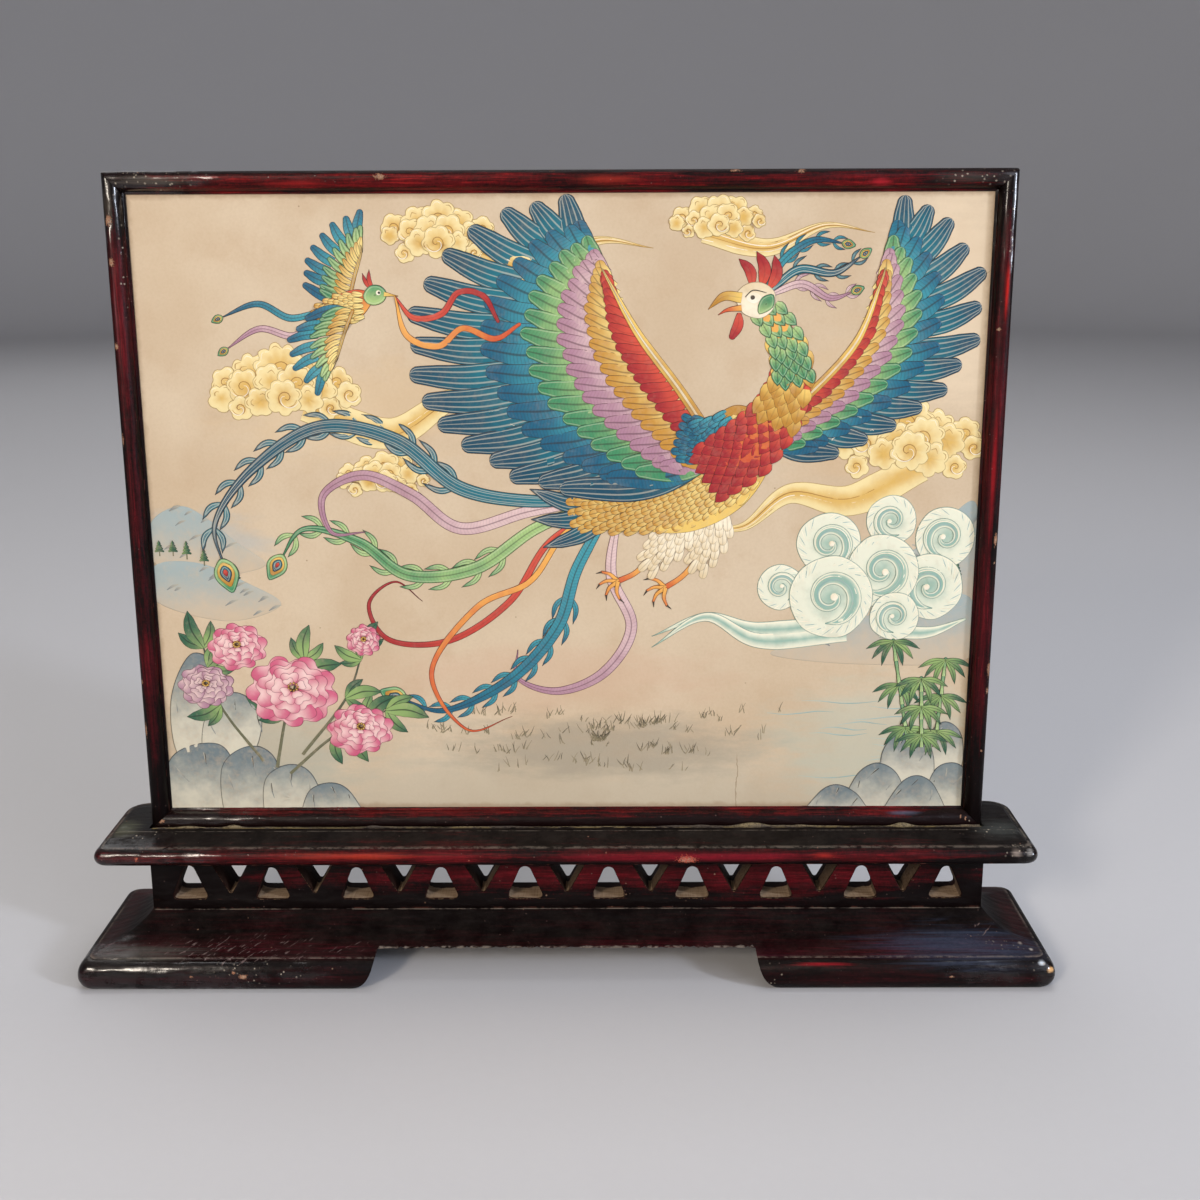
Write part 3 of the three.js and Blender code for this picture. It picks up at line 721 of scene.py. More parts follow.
def hollow(lip: Level, end_run: float, front_run: float, rise: float, bend: Point, steps: int = 12) -> list[Level]:
    """Levels of a hollow moulding, from its lip up to its head."""
    levels = []
    for i in range(1, steps + 1):
        t = i / steps
        along = 2 * t * (1 - t) * bend[0] + t * t
        up = 2 * t * (1 - t) * bend[1] + t * t
        levels.append(Level(lip.z + rise * up, lip.end + end_run * along, lip.front + front_run * along))
    return levels


def moulded_board(name: str, foot: float, length: float, depth: float, levels: Sequence[Level],
                  front_corner: float, back_corner: float) -> bpy.types.Object:
    """Extrudes and scales a board level by level.

    Args:
        name: the piece's name.
        foot: height of its underside, in millimetres.
        length: its greatest length.
        depth: its greatest depth.
        levels: its moulding, from the foot up.
        front_corner: radius of the front corners in plan.
        back_corner: radius of the back corners in plan.

    Returns:
        The board.
    """
    first = levels[0]
    half_x = length / 2 - first.end
    half_y = depth / 2 - first.front
    board = Bench.box(name, (-half_x, -half_y, foot + first.z), (half_x, half_y, foot + levels[1].z))
    for side, radius in ((-1, front_corner), (1, back_corner)):
        Bench.round_edges(
            board,
            lambda edge: is_upright(edge) and edge.verts[0].co.y * side > 0 and abs(edge.verts[0].co.x) > half_x * MM * 0.999,
            radius, 6,
        )
    Bench.edit(board, "FACE")
    Bench.pick(board, "faces", lambda face: face.normal.z > 0.9)
    for i, level in enumerate(levels[1:], 1):
        if i > 1:
            rise = (level.z - levels[i - 1].z) * MM
            bpy.ops.mesh.extrude_region_move(TRANSFORM_OT_translate={"value": (0.0, 0.0, rise)})
        new_x = length / 2 - level.end
        new_y = depth / 2 - level.front
        centre = (0.0, 0.0, (foot + level.z) * MM)
        bpy.ops.transform.resize(value=(new_x / half_x, new_y / half_y, 1.0), center_override=centre)
        half_x, half_y = new_x, new_y
    Bench.done()
    return board


def is_upright(edge: bmesh.types.BMEdge) -> bool:
    """Whether an edge runs up and down."""
    run = edge.verts[1].co - edge.verts[0].co
    return abs(run.z) > 0.9 * run.length


def runs_back(edge: bmesh.types.BMEdge) -> bool:
    """Whether an edge runs from front to back."""
    run = edge.verts[1].co - edge.verts[0].co
    return abs(run.y) > 0.9 * run.length


@dataclass
class Stand:
    """The moulded base, the pierced plank and the moulded upper board."""

    fit: float = 0.3
    base_length: float = 294.0
    base_depth: float = 56.0
    base_edge_height: float = 9.2
    base_edge_swell: float = 2.6
    base_quirk: float = 0.6
    base_quirk_height: float = 0.4
    base_end_run: float = 15.0
    base_front_run: float = 18.0
    base_cove_rise: float = 7.3
    base_hollow: Point = (0.69, 0.22)
    base_corner: float = 3.0
    recess_width: float = 114.6
    recess_height: float = 10.4
    recess_flare: float = 8.0
    recess_toe: Point = (6.3, 1.2)
    shelf_length: float = 282.9
    shelf_depth: float = 40.9
    shelf_edge_height: float = 5.4
    shelf_edge_swell: float = 2.0
    shelf_quirk: float = 0.4
    shelf_end_run: float = 2.1
    shelf_front_run: float = 7.8
    shelf_cove_rise: float = 2.1
    shelf_hollow: Point = (0.6, 0.35)
    shelf_corners: Point = (2.6, 6.0)
    groove_depth: float = 1.0
    sill: float = 3.2
    sill_corner: float = 2.0
    upright_width: float = 11.5
    upright_head: float = 3.0
    apex_width: float = 2.5
    apex_drop: float = 2.9
    hanging_width: float = 13.5
    hanging_head: float = 3.4
    hanging_rise: float = 1.4
    point_width: float = 0.9
    point_rise: float = 0.8
    upright_count: int = 10
    end_block: float = 5.7
    hand_error: float = 0.3
    tenon: Place = (16.0, 6.0, 4.0)
    tenon_step: int = 3
    glue_height: float = 1.5
    glue_lumps: int = 420

    def __post_init__(self) -> None:
        """Reads the levels of the three boards from the frame."""
        self.plank_low, self.plank_high = (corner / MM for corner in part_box("pierced_gallery"))
        self.base_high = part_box("base_plinth")[1].z / MM
        self.shelf_low, self.shelf_high = (corner.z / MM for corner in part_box("upper_board"))
        self.frame_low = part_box("frame_bottom_rail")[0] / MM
        self.frame_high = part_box("frame_top_rail")[1] / MM
        self.plank_foot = self.plank_low.z + self.tenon[2]
        self.plank_head = self.plank_high.z - self.tenon[2]
        span = self.plank_high.x - self.plank_low.x
        self.pitch = (span - 2 * self.end_block - self.upright_width) / (self.upright_count - 1)

    def tenon_boxes(self, grow: float, low: float, high: float) -> list[bpy.types.Object]:
        """Boxes for the stub tenons or, when grown, for their mortises."""
        half_length, half_thickness = self.tenon[0] / 2 + grow, self.tenon[1] / 2 + grow
        places = [i * self.tenon_step * self.pitch for i in (-1, 0, 1)]
        return [
            Bench.box("tenon", (x - half_length, -half_thickness, low), (x + half_length, half_thickness, high))
            for x in places
        ]

    def build_base(self) -> bpy.types.Object:
        """The base board with its half-round edge, quirk and hollow, cut away beneath in the middle."""
        lip_inset = self.base_edge_swell + self.base_quirk
        quirk = Level(self.base_edge_height, lip_inset, lip_inset)
        lip = Level(self.base_edge_height + self.base_quirk_height, lip_inset, lip_inset)
        levels = half_round(self.base_edge_height, self.base_edge_swell)
        levels += [quirk, lip]
        levels += hollow(lip, self.base_end_run, self.base_front_run, self.base_cove_rise, self.base_hollow)
        base = moulded_board("base_board", 0.0, self.base_length, self.base_depth, levels,
                             self.base_corner, self.base_corner)
        Bench.cut(base, self.recess_cutter())
        pocket_foot = self.base_high - self.tenon[2] - self.fit
        Bench.cut(base, Bench.group(self.tenon_boxes(self.fit, pocket_foot, self.base_high + 2)))
        for side in ("left", "right"):
            Bench.cut(base, self.screw_hole(f"base_screw_{side}"))
        Bench.soften(base, 0.22)
        self.chip_apron(base)
        return base

    def recess_cutter(self) -> bpy.types.Object:
        """The space between the two feet, whose ends lean out and turn under in a rounded toe."""
        ceiling = self.recess_width / 2
        floor = ceiling + self.recess_flare
        run, rise = self.recess_toe
        levels = [Level(-2.0, 0.0, 0.0), Level(0.0, 0.0, 0.0)]
        steps = 10
        for i in range(1, steps + 1):
            t = i / steps
            along = 2 * t * (1 - t) * run + t * t * self.recess_flare
            up = 2 * t * (1 - t) * rise + t * t * self.recess_height
            levels.append(Level(up, along, 0.0))
        return moulded_board("recess", 0.0, 2 * floor, self.base_depth + 4, levels, 0.0, 0.0)

    def screw_hole(self, node: str) -> bpy.types.Object:
        """The countersunk hole of a screw, from the screw's own box."""
        low, high = (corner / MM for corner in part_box(node))
        centre = (low + high) / 2
        radius = (high.x - low.x) / 2 + self.fit
        Bench.free()
        bpy.ops.mesh.primitive_cylinder_add(
            vertices=24, radius=radius * MM, depth=4 * radius * MM,
            location=(centre.x * MM, centre.y * MM, (low.z - radius) * MM),
        )
        hole = bpy.context.active_object
        bpy.ops.object.transform_apply(location=True, rotation=True, scale=True)
        return hole

    def chip_apron(self, base: bpy.types.Object) -> None:
        """Nibbles the thin edge where the hollow runs out over the recess."""
        half = self.recess_width / 2
        cuts = 90
        for i in range(cuts + 1):
            Bench.slice(base, (lerp(-half + 1, half - 1, i / cuts), 0.0, 0.0), (1.0, 0.0, 0.0))
        draw = random.Random(11)
        depth_at: dict[int, float] = {}
        for vertex in base.data.vertices:
            place = vertex.co / MM
            if abs(place.x) > half - 2 or abs(place.z - self.recess_height) > 0.3 or abs(place.y) < 10:
                continue
            key = round(place.x * 10) * (1 if place.y < 0 else -1)
            if key not in depth_at:
                depth_at[key] = draw.random() ** 3 * 0.55 + draw.random() * 0.06
            vertex.co.z += depth_at[key] * MM
            vertex.co.y -= math.copysign(depth_at[key] * 0.4 * MM, vertex.co.y)

    def build_shelf(self) -> bpy.types.Object:
        """The upper board, with its groove for the frame."""
        lip_inset = self.shelf_edge_swell + self.shelf_quirk
        lip = Level(self.shelf_edge_height, lip_inset, lip_inset)
        levels = half_round(self.shelf_edge_height, self.shelf_edge_swell, 12)
        levels += [lip] + hollow(lip, self.shelf_end_run, self.shelf_front_run, self.shelf_cove_rise, self.shelf_hollow, 8)
        shelf = moulded_board("shelf_board", self.shelf_low, self.shelf_length, self.shelf_depth, levels,
                              *self.shelf_corners)
        half = (self.frame_high.x + self.fit, self.frame_high.y + self.fit)
        groove_floor = self.shelf_high - self.groove_depth
        Bench.cut(shelf, Bench.box("groove", (-half[0], -half[1], groove_floor), (half[0], half[1], self.shelf_high + 2)))
        pocket_head = self.shelf_low + self.tenon[2] + self.fit
        Bench.cut(shelf, Bench.group(self.tenon_boxes(self.fit, self.shelf_low - 2, pocket_head)))
        Bench.soften(shelf, 0.2)
        return shelf

    def opening(self, upright: bool) -> bpy.types.Object:
        """A three-cornered cutter with eased corners, standing on its side or hanging on its point."""
        reach = self.plank_high.y + 2
        base_width = self.upright_width if upright else self.hanging_width
        tip_width = self.apex_width if upright else self.point_width
        sill = self.plank_foot + self.sill
        if upright:
            low, high = sill, self.plank_head - self.upright_head - self.apex_drop
        else:
            low, high = sill + self.hanging_rise + self.point_rise, self.plank_head - self.hanging_head
        tip, base = ((high, low) if upright else (low, high))
        tool = Bench.box("opening", (-base_width / 2, -reach, low), (base_width / 2, reach, high))
        Bench.edit(tool, "FACE")
        Bench.pick(tool, "faces", lambda face: face.normal.z * (1 if upright else -1) > 0.9)
        bpy.ops.transform.resize(value=(tip_width / base_width, 1.0, 1.0), center_override=(0.0, 0.0, tip * MM))
        Bench.done()
        for height, radius in ((base, self.sill_corner), (tip, tip_width * 0.46)):
            Bench.round_edges(tool, lambda edge: runs_back(edge) and abs(edge.verts[0].co.z - height * MM) < 0.1 * MM,
                              radius, 4)
        return tool

    def build_plank(self) -> bpy.types.Object:
        """The plank, pierced by hand with upright triangles and hanging ones between them."""
        half_x, half_y = self.plank_high.x, self.plank_high.y
        plank = Bench.box("pierced_plank", (-half_x, -half_y, self.plank_foot), (half_x, half_y, self.plank_head))
        draw = random.Random(23)
        tools = []
        for i in range(2 * self.upright_count - 1):
            x = (i / 2 - (self.upright_count - 1) / 2) * self.pitch
            tool = self.opening(i % 2 == 0)
            sizes = [1 + draw.uniform(-0.04, 0.04) for _ in range(2)]
            sill = (0.0, 0.0, (self.plank_foot + self.sill) * MM)
            Bench.edit(tool, "FACE")
            bpy.ops.mesh.select_all(action="SELECT")
            bpy.ops.transform.resize(value=(sizes[0], 1.0, sizes[1]), center_override=sill)
            Bench.done()
            tools.append(self.copied("opening", tool, x + draw.uniform(-self.hand_error, self.hand_error)))
        Bench.cut(plank, Bench.group(tools))
        for low, high in ((self.plank_low.z, self.plank_foot + self.sill / 2),
                          (self.plank_head - self.upright_head / 2, self.plank_high.z)):
            Bench.join_solid(plank, Bench.group(self.tenon_boxes(0.0, low, high)))
        Bench.soften(plank, 0.32, 3)
        return plank

    @staticmethod
    def copied(name: str, tool: bpy.types.Object, x: float) -> bpy.types.Object:
        """Moves a cutter to its place along the plank."""
        tool.name = name
        Bench.shift(tool, (x, 0.0, 0.0))
        return tool

    def dress(self) -> None:
        """Builds the three boards and gives them their finishes."""
        base = self.build_base()
        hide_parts("base_plinth")
        lip = self.base_edge_height + self.base_quirk_height
        plank_front = -self.plank_high.y
        Bench.dress(base, Lacquer(
            "base_lacquer", Axis.X, dark=0x070202, red=0x240608, bright=0x48101A, redness=-0.16, grained=0.5,
            dustiness=0.05, crust=0x8A7C6E,
            warm=(Band(Axis.Z, self.recess_height, 2.4, 0.4), Band(Axis.Z, 4.0, 4.5, 0.2)),
            rubbed=(Band(Axis.Z, lip, 0.3, 0.45),),
            # The apron's cut edge is worn pale; the lip's pale line is partly a painted sheen.
            worn_and_lit_arrises=(Band(Axis.Z, self.recess_height, 0.45, 1.6, self.recess_width / 2), Band(Axis.Z, lip, 0.25, 0.5)),
            # Painted shade in the quirk above the half-round edge.
            shaded_grooves=(Band(Axis.Z, self.base_edge_height - 0.5, 0.9),),
            seams=(Band(Axis.Y, plank_front, 0.9, 0.8, self.plank_high.x),),
            scuffs=(Chip((-101.0, -21.5, 10.6), 10.0, (3.0, 1.0, 0.6)), Chip((127.0, -13.1, 12.6), 4.0, (1.5, 0.8, 0.6)),
                    Chip((-66.0, -20.0, 11.0), 4.0, (2.0, 1.0, 0.4))),
            glossy=(Chip((-142.0, -26.0, 5.5), 16.0, (1.8, 1.0, 1.0)), Chip((144.5, -25.0, 5.5), 7.0),
                    Chip((-108.0, -27.0, 6.0), 9.0, (2.6, 1.0, 1.0)), Chip((126.0, -27.0, 6.0), 5.0, (3.0, 1.0, 1.0)),
                    Chip((-78.0, -27.0, 6.0), 4.0, (3.0, 1.0, 1.0))),
            specks=(Chip((-92.0, -27.4, 6.0), 6.0, (3.0, 1.0, 0.8)), Chip((143.0, -26.0, 8.0), 4.0, (1.4, 1.0, 1.0)),
                    Chip((133.0, -20.0, 12.0), 5.0, (2.0, 1.0, 0.7)), Chip((62.0, -27.0, 4.0), 5.0, (1.6, 1.0, 1.0))),
            # Left end: a grey painted reflection over dust; right end: a blue-grey painted sheen; purple and red tints;
            # pale worn flecks on the right mitre; at the right tip a blue-white and a gold painted highlight over the
            # worn tip.
            tints_and_sheens=(TintAndSheen((-127.0, -22.0, 10.0), 9.0, (2.6, 0.7, 0.6), 0x72726A, 0.34),
                    TintAndSheen((120.0, -20.0, 10.8), 13.0, (3.0, 1.0, 0.5), 0x525E78, 0.4),
                    TintAndSheen((20.0, -23.0, 10.0), 6.0, (12.0, 0.6, 0.5), 0x5A1430, 0.45),
                    TintAndSheen((76.0, -26.4, 8.2), 2.0, (7.0, 1.0, 0.35), 0xA01824, 0.7),
                    TintAndSheen((140.6, -20.9, 10.2), 0.9, (1.0, 1.2, 1.0), 0xB4ACA2, 1.0),
                    TintAndSheen((138.0, -17.9, 11.0), 1.1, (1.0, 1.2, 1.0), 0xA89C90, 0.8),
                    TintAndSheen((142.4, -26.5, 8.5), 1.5, (1.1, 1.0, 0.8), 0xC4CCD4, 1.3),
                    TintAndSheen((145.0, -27.2, 6.8), 1.4, (1.1, 1.2, 0.9), 0xD0A26C, 1.3)),
            chips=(Chip((45.5, -25.0, 7.4), 2.2, (2.0, 1.0, 0.5)), Chip((-112.0, -27.6, 5.2), 0.5, (1.8, 1.0, 1.0)),
                   Chip((-96.5, -27.8, 5.2), 0.9, (1.4, 1.0, 0.9)), Chip((-99.4, -27.6, 6.4), 0.4, (1.4, 1.0, 1.0)),
                   Chip((115.4, -27.9, 4.8), 0.4, (1.9, 1.0, 0.8)), Chip((-42.0, -20.6, 10.6), 0.9, (2.0, 1.0, 0.6)),
                   Chip((-24.0, -20.6, 10.6), 0.7, (1.6, 1.0, 0.6)), Chip((-5.0, -20.6, 10.6), 0.7, (1.6, 1.0, 0.6))),
        ).make(), "stand_lacquer")
        shelf = self.build_shelf()
        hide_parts("upper_board")
        edge_middle = self.shelf_low + self.shelf_edge_height / 2
        top_front = self.shelf_edge_swell + self.shelf_quirk + self.shelf_front_run - self.shelf_depth / 2
        Bench.dress(shelf, Lacquer(
            "shelf_lacquer", Axis.X, dark=0x080303, red=0x42060A, bright=0x701118, redness=-0.32, grained=0.85,
            dustiness=0.06, bare=0xB0503C,
            warm=(Band(Axis.Z, edge_middle + 0.6, 3.9, 0.62), Band(Axis.X, self.shelf_length / 2, 40.0, -0.5)),
            rubbed=(Band(Axis.Z, self.shelf_low + self.shelf_edge_height, 0.3, 0.35), Band(Axis.Z, self.shelf_low + 0.4, 0.5)),
            # Pale lines on the top's front arris and on the lip, partly a painted highlight.
            worn_and_lit_arrises=(Band(Axis.Y, top_front, 0.4, 0.5), Band(Axis.Z, self.shelf_low + self.shelf_edge_height, 0.25, 0.5)),
            seams=(Band(Axis.Y, self.frame_low.y, 1.6, 1.0, self.frame_high.x),),
            glossy=(Chip((-135.0, -19.5, 40.5), 12.0, (2.0, 1.0, 1.0)), Chip((139.5, -18.0, 40.5), 6.0),
                    Chip((-110.0, -20.4, 40.5), 3.0, (2.4, 1.0, 1.0))),
            # At the right tip the flecks are painted glints that mottle its highlight; on the top they are dust.
            specks=(Chip((136.0, -18.6, 41.0), 4.0, (1.6, 1.0, 1.0)), Chip((128.0, -10.0, 44.5), 4.0, (2.4, 1.0, 1.0)),
                    Chip((-126.0, -12.0, 44.5), 4.0, (2.0, 1.0, 1.0))),
            # Grey-green dust at both ends, red and orange tints on the front edge, and at the right tip two pale
            # painted highlights over a worn tip.
            tints_and_sheens=(TintAndSheen((-135.0, -7.0, 44.5), 8.0, (0.8, 1.0, 1.0), 0x74765F, 0.35),
                    TintAndSheen((132.0, -9.0, 44.5), 8.0, (1.4, 1.0, 1.0), 0x666C68, 0.3),
                    TintAndSheen((40.0, -20.4, 40.2), 3.0, (18.0, 1.0, 0.7), 0x901428, 0.45),
                    TintAndSheen((-62.0, -20.4, 40.6), 2.2, (14.0, 1.0, 0.7), 0xB4341E, 0.5),
                    TintAndSheen((77.0, -20.4, 40.4), 2.0, (3.0, 1.0, 0.7), 0xB02C24, 0.6),
                    TintAndSheen((134.4, -19.6, 40.8), 1.4, (1.8, 1.0, 1.0), 0xA8988C, 0.9),
                    TintAndSheen((138.4, -19.2, 41.0), 1.4, (1.2, 1.2, 0.8), 0xC0BCB8, 1.0)),
            chips=(Chip((36.3, -20.2, 39.4), 1.8, (1.7, 1.0, 0.7)), Chip((-128.0, -20.0, 39.8), 0.7),
                   Chip((-138.5, -18.6, 38.6), 0.5)),
        ).make(), "stand_lacquer")
        plank = self.build_plank()
        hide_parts("pierced_gallery")
        Bench.dress(plank, Lacquer(
            "plank_lacquer", Axis.X, dark=0x080202, red=0x48060D, bright=0x70111C, redness=-0.25, grained=0.4,
            dustiness=0.06,
            warm=(Band(Axis.Z, (self.plank_foot + self.plank_head) / 2 + 1, 8.0, 0.52),
                  Band(Axis.X, self.plank_low.x, 90.0, -0.6), Band(Axis.X, self.plank_high.x, 50.0, -0.4)),
            rubbed=(Band(Axis.Z, self.plank_foot + self.sill, 0.4, 0.4), Band(Axis.Z, self.plank_foot + 0.3, 0.4, 0.6)),
            # Painted shade along the plank's foot, under the openings.
            shaded_grooves=(Band(Axis.Z, self.plank_foot + 1.0, 2.6, 1.0),),
        ).make(), "stand_lacquer")
        self.bare_openings(plank)
        self.lay_glue()

    def lay_glue(self) -> None:
        """The lumpy bead of old glue and dust that fills the groove's mouth along the frame's front foot."""
        front, top = self.frame_low.y - self.fit / 2, self.shelf_high
        half, high = self.frame_high.x - 0.5, self.glue_height
        bead = Bench.box("glue_bead", (-half, front - high, top - high / 3), (half, front + high / 4, top + high))
        Bench.edit(bead, "EDGE")
        Bench.pick(bead, "edges", lambda edge: abs(edge.verts[0].co.x - edge.verts[1].co.x) > half * MM)
        bpy.ops.mesh.subdivide(number_cuts=self.glue_lumps)
        Bench.done()
        draw = random.Random(31)
        swells = [draw.random() ** 3.4 for _ in range(24)]
        lumps = [0.25 + draw.random() ** 2.5 for _ in range(self.glue_lumps + 2)]
        clumps = ((-115.3, 1.8), (-59.3, 2.2), (-101.0, 1.6), (56.5, 6.5), (103.0, 3.0))
        for vertex in bead.data.vertices:
            place = vertex.co.x / MM
            share = (place + half) / (2 * half)
            clump = max(1 - abs(place - middle) / reach for middle, reach in clumps)
            lump = at_share(lumps, share)
            size = max((0.1 + 0.9 * at_share(swells, share)) * lump, min(1.2, clump * 2.4) * (0.45 + 0.6 * lump))
            vertex.co.y = lerp(front * MM, vertex.co.y, size)
            vertex.co.z = lerp(top * MM, vertex.co.z, size)
        Bench.apply(bead, "SUBSURF", levels=1, render_levels=1)
        Bench.smooth(bead, 70.0)
        tree = FinishTree("old_glue")
        grains = tree.noise(0.6, 3.0, 0.7)
        stretches = tree.noise((14.0, 3.0, 3.0), 2.0, 0.5)
        colour = tree.mix(stretches.between(0.4, 0.6), 0x453C33, 0x7C6E50)
        colour = tree.mix(grains.between(0.46, 0.6) * 0.7, colour, 0x241812)
        Bench.dress(bead, tree.close(colour, 0.6 + grains * 0.3, tree.bump(grains, 0.1)), "stand_lacquer")

    def bare_openings(self, plank: bpy.types.Object) -> None:
        """Gives the sawn faces inside the openings their bare wood."""
        plank.data.materials.append(SawnWood("sawn_wood", self.plank_high.y).make())
        for face in plank.data.polygons:
            inside = abs(face.center.y) < (self.plank_high.y - 0.4) * MM
            within = self.plank_foot * MM + 0.001 < face.center.z < self.plank_head * MM - 0.001
            across = abs(face.normal.y) < 0.5 and abs(face.center.x) < (self.plank_high.x - 1) * MM
            rim = 0.2 < -face.normal.y < 0.97 and abs(face.center.x) < (self.plank_high.x - 2) * MM
            if (inside and within and across) or (rim and within):
                face.material_index = 1


@dataclass
class PictureFrame:
    """Four round-moulded rails, mitred, with a rebate behind for the plaque."""

    crest_drop: float = 2.5
    face: float = 6.2
    sight_step: float = 0.8
    sight_fall: float = 0.3
    rebate: float = 2.4
    glue_line: float = 0.05
    corner: float = 1.1

    def __post_init__(self) -> None:
        """Reads the frame's size and the stone's place."""
        self.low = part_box("frame_bottom_rail")[0] / MM
        self.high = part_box("frame_top_rail")[1] / MM
        self.stone_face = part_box("stone_plaque")[0].y / MM
        self.width = self.high.x - self.low.x
        self.height = self.high.z - self.low.z
        self.middle = (self.high.z + self.low.z) / 2

    def rail(self, name: str, length: float, across: float, angle: float) -> bpy.types.Object:
        """Models one rail above the frame's middle, then turns it to its side.

        Args:
            name: the piece's name.
            length: its outer length.
            across: the frame's size across the rail.
            angle: the turn about the Y axis that takes it from the top to its side.

        Returns:
            The rail in its place.
        """
        half, top = length / 2, across / 2
        front, back = self.low.y, self.high.y
        rail = Bench.box(name, (-half, front, top - self.face), (half, back, top))
        step = Bench.box("sight_step", (-half - 1, front - 1, top - self.face - 1),
                         (half + 1, front + self.crest_drop + self.sight_fall, top - self.face + self.sight_step))
        Bench.cut(rail, step)
        crest_edges = (top, top - self.face + self.sight_step)
        Bench.round_edges(
            rail,
            lambda edge: all(abs(v.co.y - front * MM) < 1e-5 for v in edge.verts)
            and abs(edge.verts[0].co.z - edge.verts[1].co.z) < 1e-5
            and any(abs(edge.verts[0].co.z - z * MM) < 1e-5 for z in crest_edges),
            self.crest_drop, 9,
        )
        rebate = Bench.box("rebate", (-half - 1, self.stone_face - self.glue_line, top - self.face - 1),
                           (half + 1, back + 1, top - self.face + self.rebate))
        Bench.cut(rail, rebate)
        for side in (-1, 1):
            corner = (side * (half - self.glue_line / 2), 0.0, top)
            Bench.slice(rail, corner, (side * math.sqrt(0.5), 0.0, -math.sqrt(0.5)), clear=True)
            for degrees in (15, 30, 45):
                out, up = math.sin(math.radians(degrees)), math.cos(math.radians(degrees))
                tangent = (side * (half - self.corner * (1 - out)), 0.0, top - self.corner * (1 - up))
                Bench.slice(rail, tangent, (side * out, 0.0, up), clear=True)
        Bench.soften(rail, 0.16)
        Bench.turn(rail, angle)
        Bench.shift(rail, (0.0, 0.0, self.middle))
        return rail

    def dress(self) -> None:
        """Builds the four rails and gives them their finishes."""
        stile_chips = (
            Chip((-125.6, -7.0, 213.5), 0.9, (1.0, 1.0, 1.4)), Chip((-125.4, -6.9, 225.0), 1.0, (0.9, 1.0, 1.6)),
            Chip((-126.1, -6.8, 190.3), 0.8, (1.0, 1.0, 1.3)), Chip((-126.5, -6.5, 163.5), 0.5, (1.0, 1.0, 4.0)),
            Chip((-126.6, -6.4, 91.0), 0.5, (1.0, 1.0, 1.6)), Chip((-126.5, -6.5, 75.7), 0.6, (1.0, 1.0, 4.0)),
            Chip((123.3, -7.1, 194.2), 0.6, (1.2, 1.0, 1.0)), Chip((126.3, -6.7, 133.6), 0.9, (0.8, 1.0, 2.2)),
            Chip((126.2, -6.6, 126.6), 0.4), Chip((126.7, -6.4, 94.1), 1.0, (0.8, 1.0, 2.4)),
            Chip((126.5, -6.5, 87.4), 0.7, (1.0, 1.0, 1.6)), Chip((125.5, -6.9, 68.6), 0.4),
        )
        rail_chips = (
            Chip((-49.6, -6.6, 236.4), 0.9, (2.0, 1.0, 1.0)), Chip((48.5, -5.6, 237.4), 0.8, (2.4, 1.0, 1.0)),
            Chip((66.7, -5.8, 237.1), 1.0, (1.2, 1.0, 1.0)), Chip((-2.2, -5.6, 237.4), 0.5, (2.0, 1.0, 1.0)),
            Chip((-123.6, -7.0, 46.6), 0.8, (1.2, 1.0, 0.9)), Chip((120.4, -7.0, 47.8), 0.4, (0.7, 1.0, 2.4)),
            Chip((121.9, -7.0, 46.8), 0.35, (0.8, 1.0, 2.0)),
        )
        rubbed = (Band(Axis.Y, self.low.y + self.crest_drop, 0.4, 0.8),)
        ends = tuple(Band(Axis.X, side * self.width / 2, 34.0, -0.5) for side in (-1, 1))
        edges = (Band(Axis.Z, self.low.z, 5.4, -1.0), Band(Axis.Z, self.high.z, 1.4, -0.5))
        crests = (Band(Axis.X, 2.8 - self.width / 2, 3.8, 0.34), Band(Axis.X, self.width / 2 - 3.4, 4.4, 0.38))
        heads = (Band(Axis.Z, self.high.z, 26.0, -0.6), Band(Axis.Z, self.low.z, 70.0, -0.42))
        left_crest, right_crest = Chip((-120.0, -6.0, 236.0), 12.0, (1.9, 1.0, 1.6)), Chip((128.5, -6.0, 233.0), 9.0, (1.0, 1.0, 2.0))
        upright = Lacquer(
            "stile_lacquer", Axis.Z, dark=0x080202, red=0x40070D, bright=0x641018, redness=-0.16, grained=0.6,
            dustiness=0.1, chips=stile_chips, rubbed=rubbed, warm=crests + heads,
            glossy=(left_crest, right_crest, Chip((-126.0, -6.6, 222.0), 3.0, (1.0, 1.0, 2.0)),
                    Chip((125.2, -7.0, 216.0), 3.0, (0.6, 1.0, 3.0))),
            # Painted glints: flecks of highlight along both stiles near the top.
            specks=(Chip((126.0, -6.6, 222.0), 4.0, (0.5, 1.0, 4.0)), Chip((-122.6, -6.8, 216.0), 4.0, (0.5, 1.0, 4.6))),
            # Two bright red patches on the right stile, a grey painted sheen at the top of the left stile and a pinkish
            # painted highlight line down the left stile.
            tints_and_sheens=(TintAndSheen((125.1, -7.0, 205.6), 3.0, (0.32, 1.0, 3.6), 0xB81E18, 0.9),
                    TintAndSheen((124.2, -7.1, 152.0), 3.0, (0.3, 1.0, 8.0), 0x94141C, 0.7),
                    TintAndSheen((-125.2, -6.9, 229.0), 4.0, (0.5, 1.0, 1.8), 0x6A6054, 0.3),
                    TintAndSheen((-125.3, -6.9, 202.0), 3.0, (0.14, 1.0, 7.0), 0x7A4850, 0.4)),
        ).make()
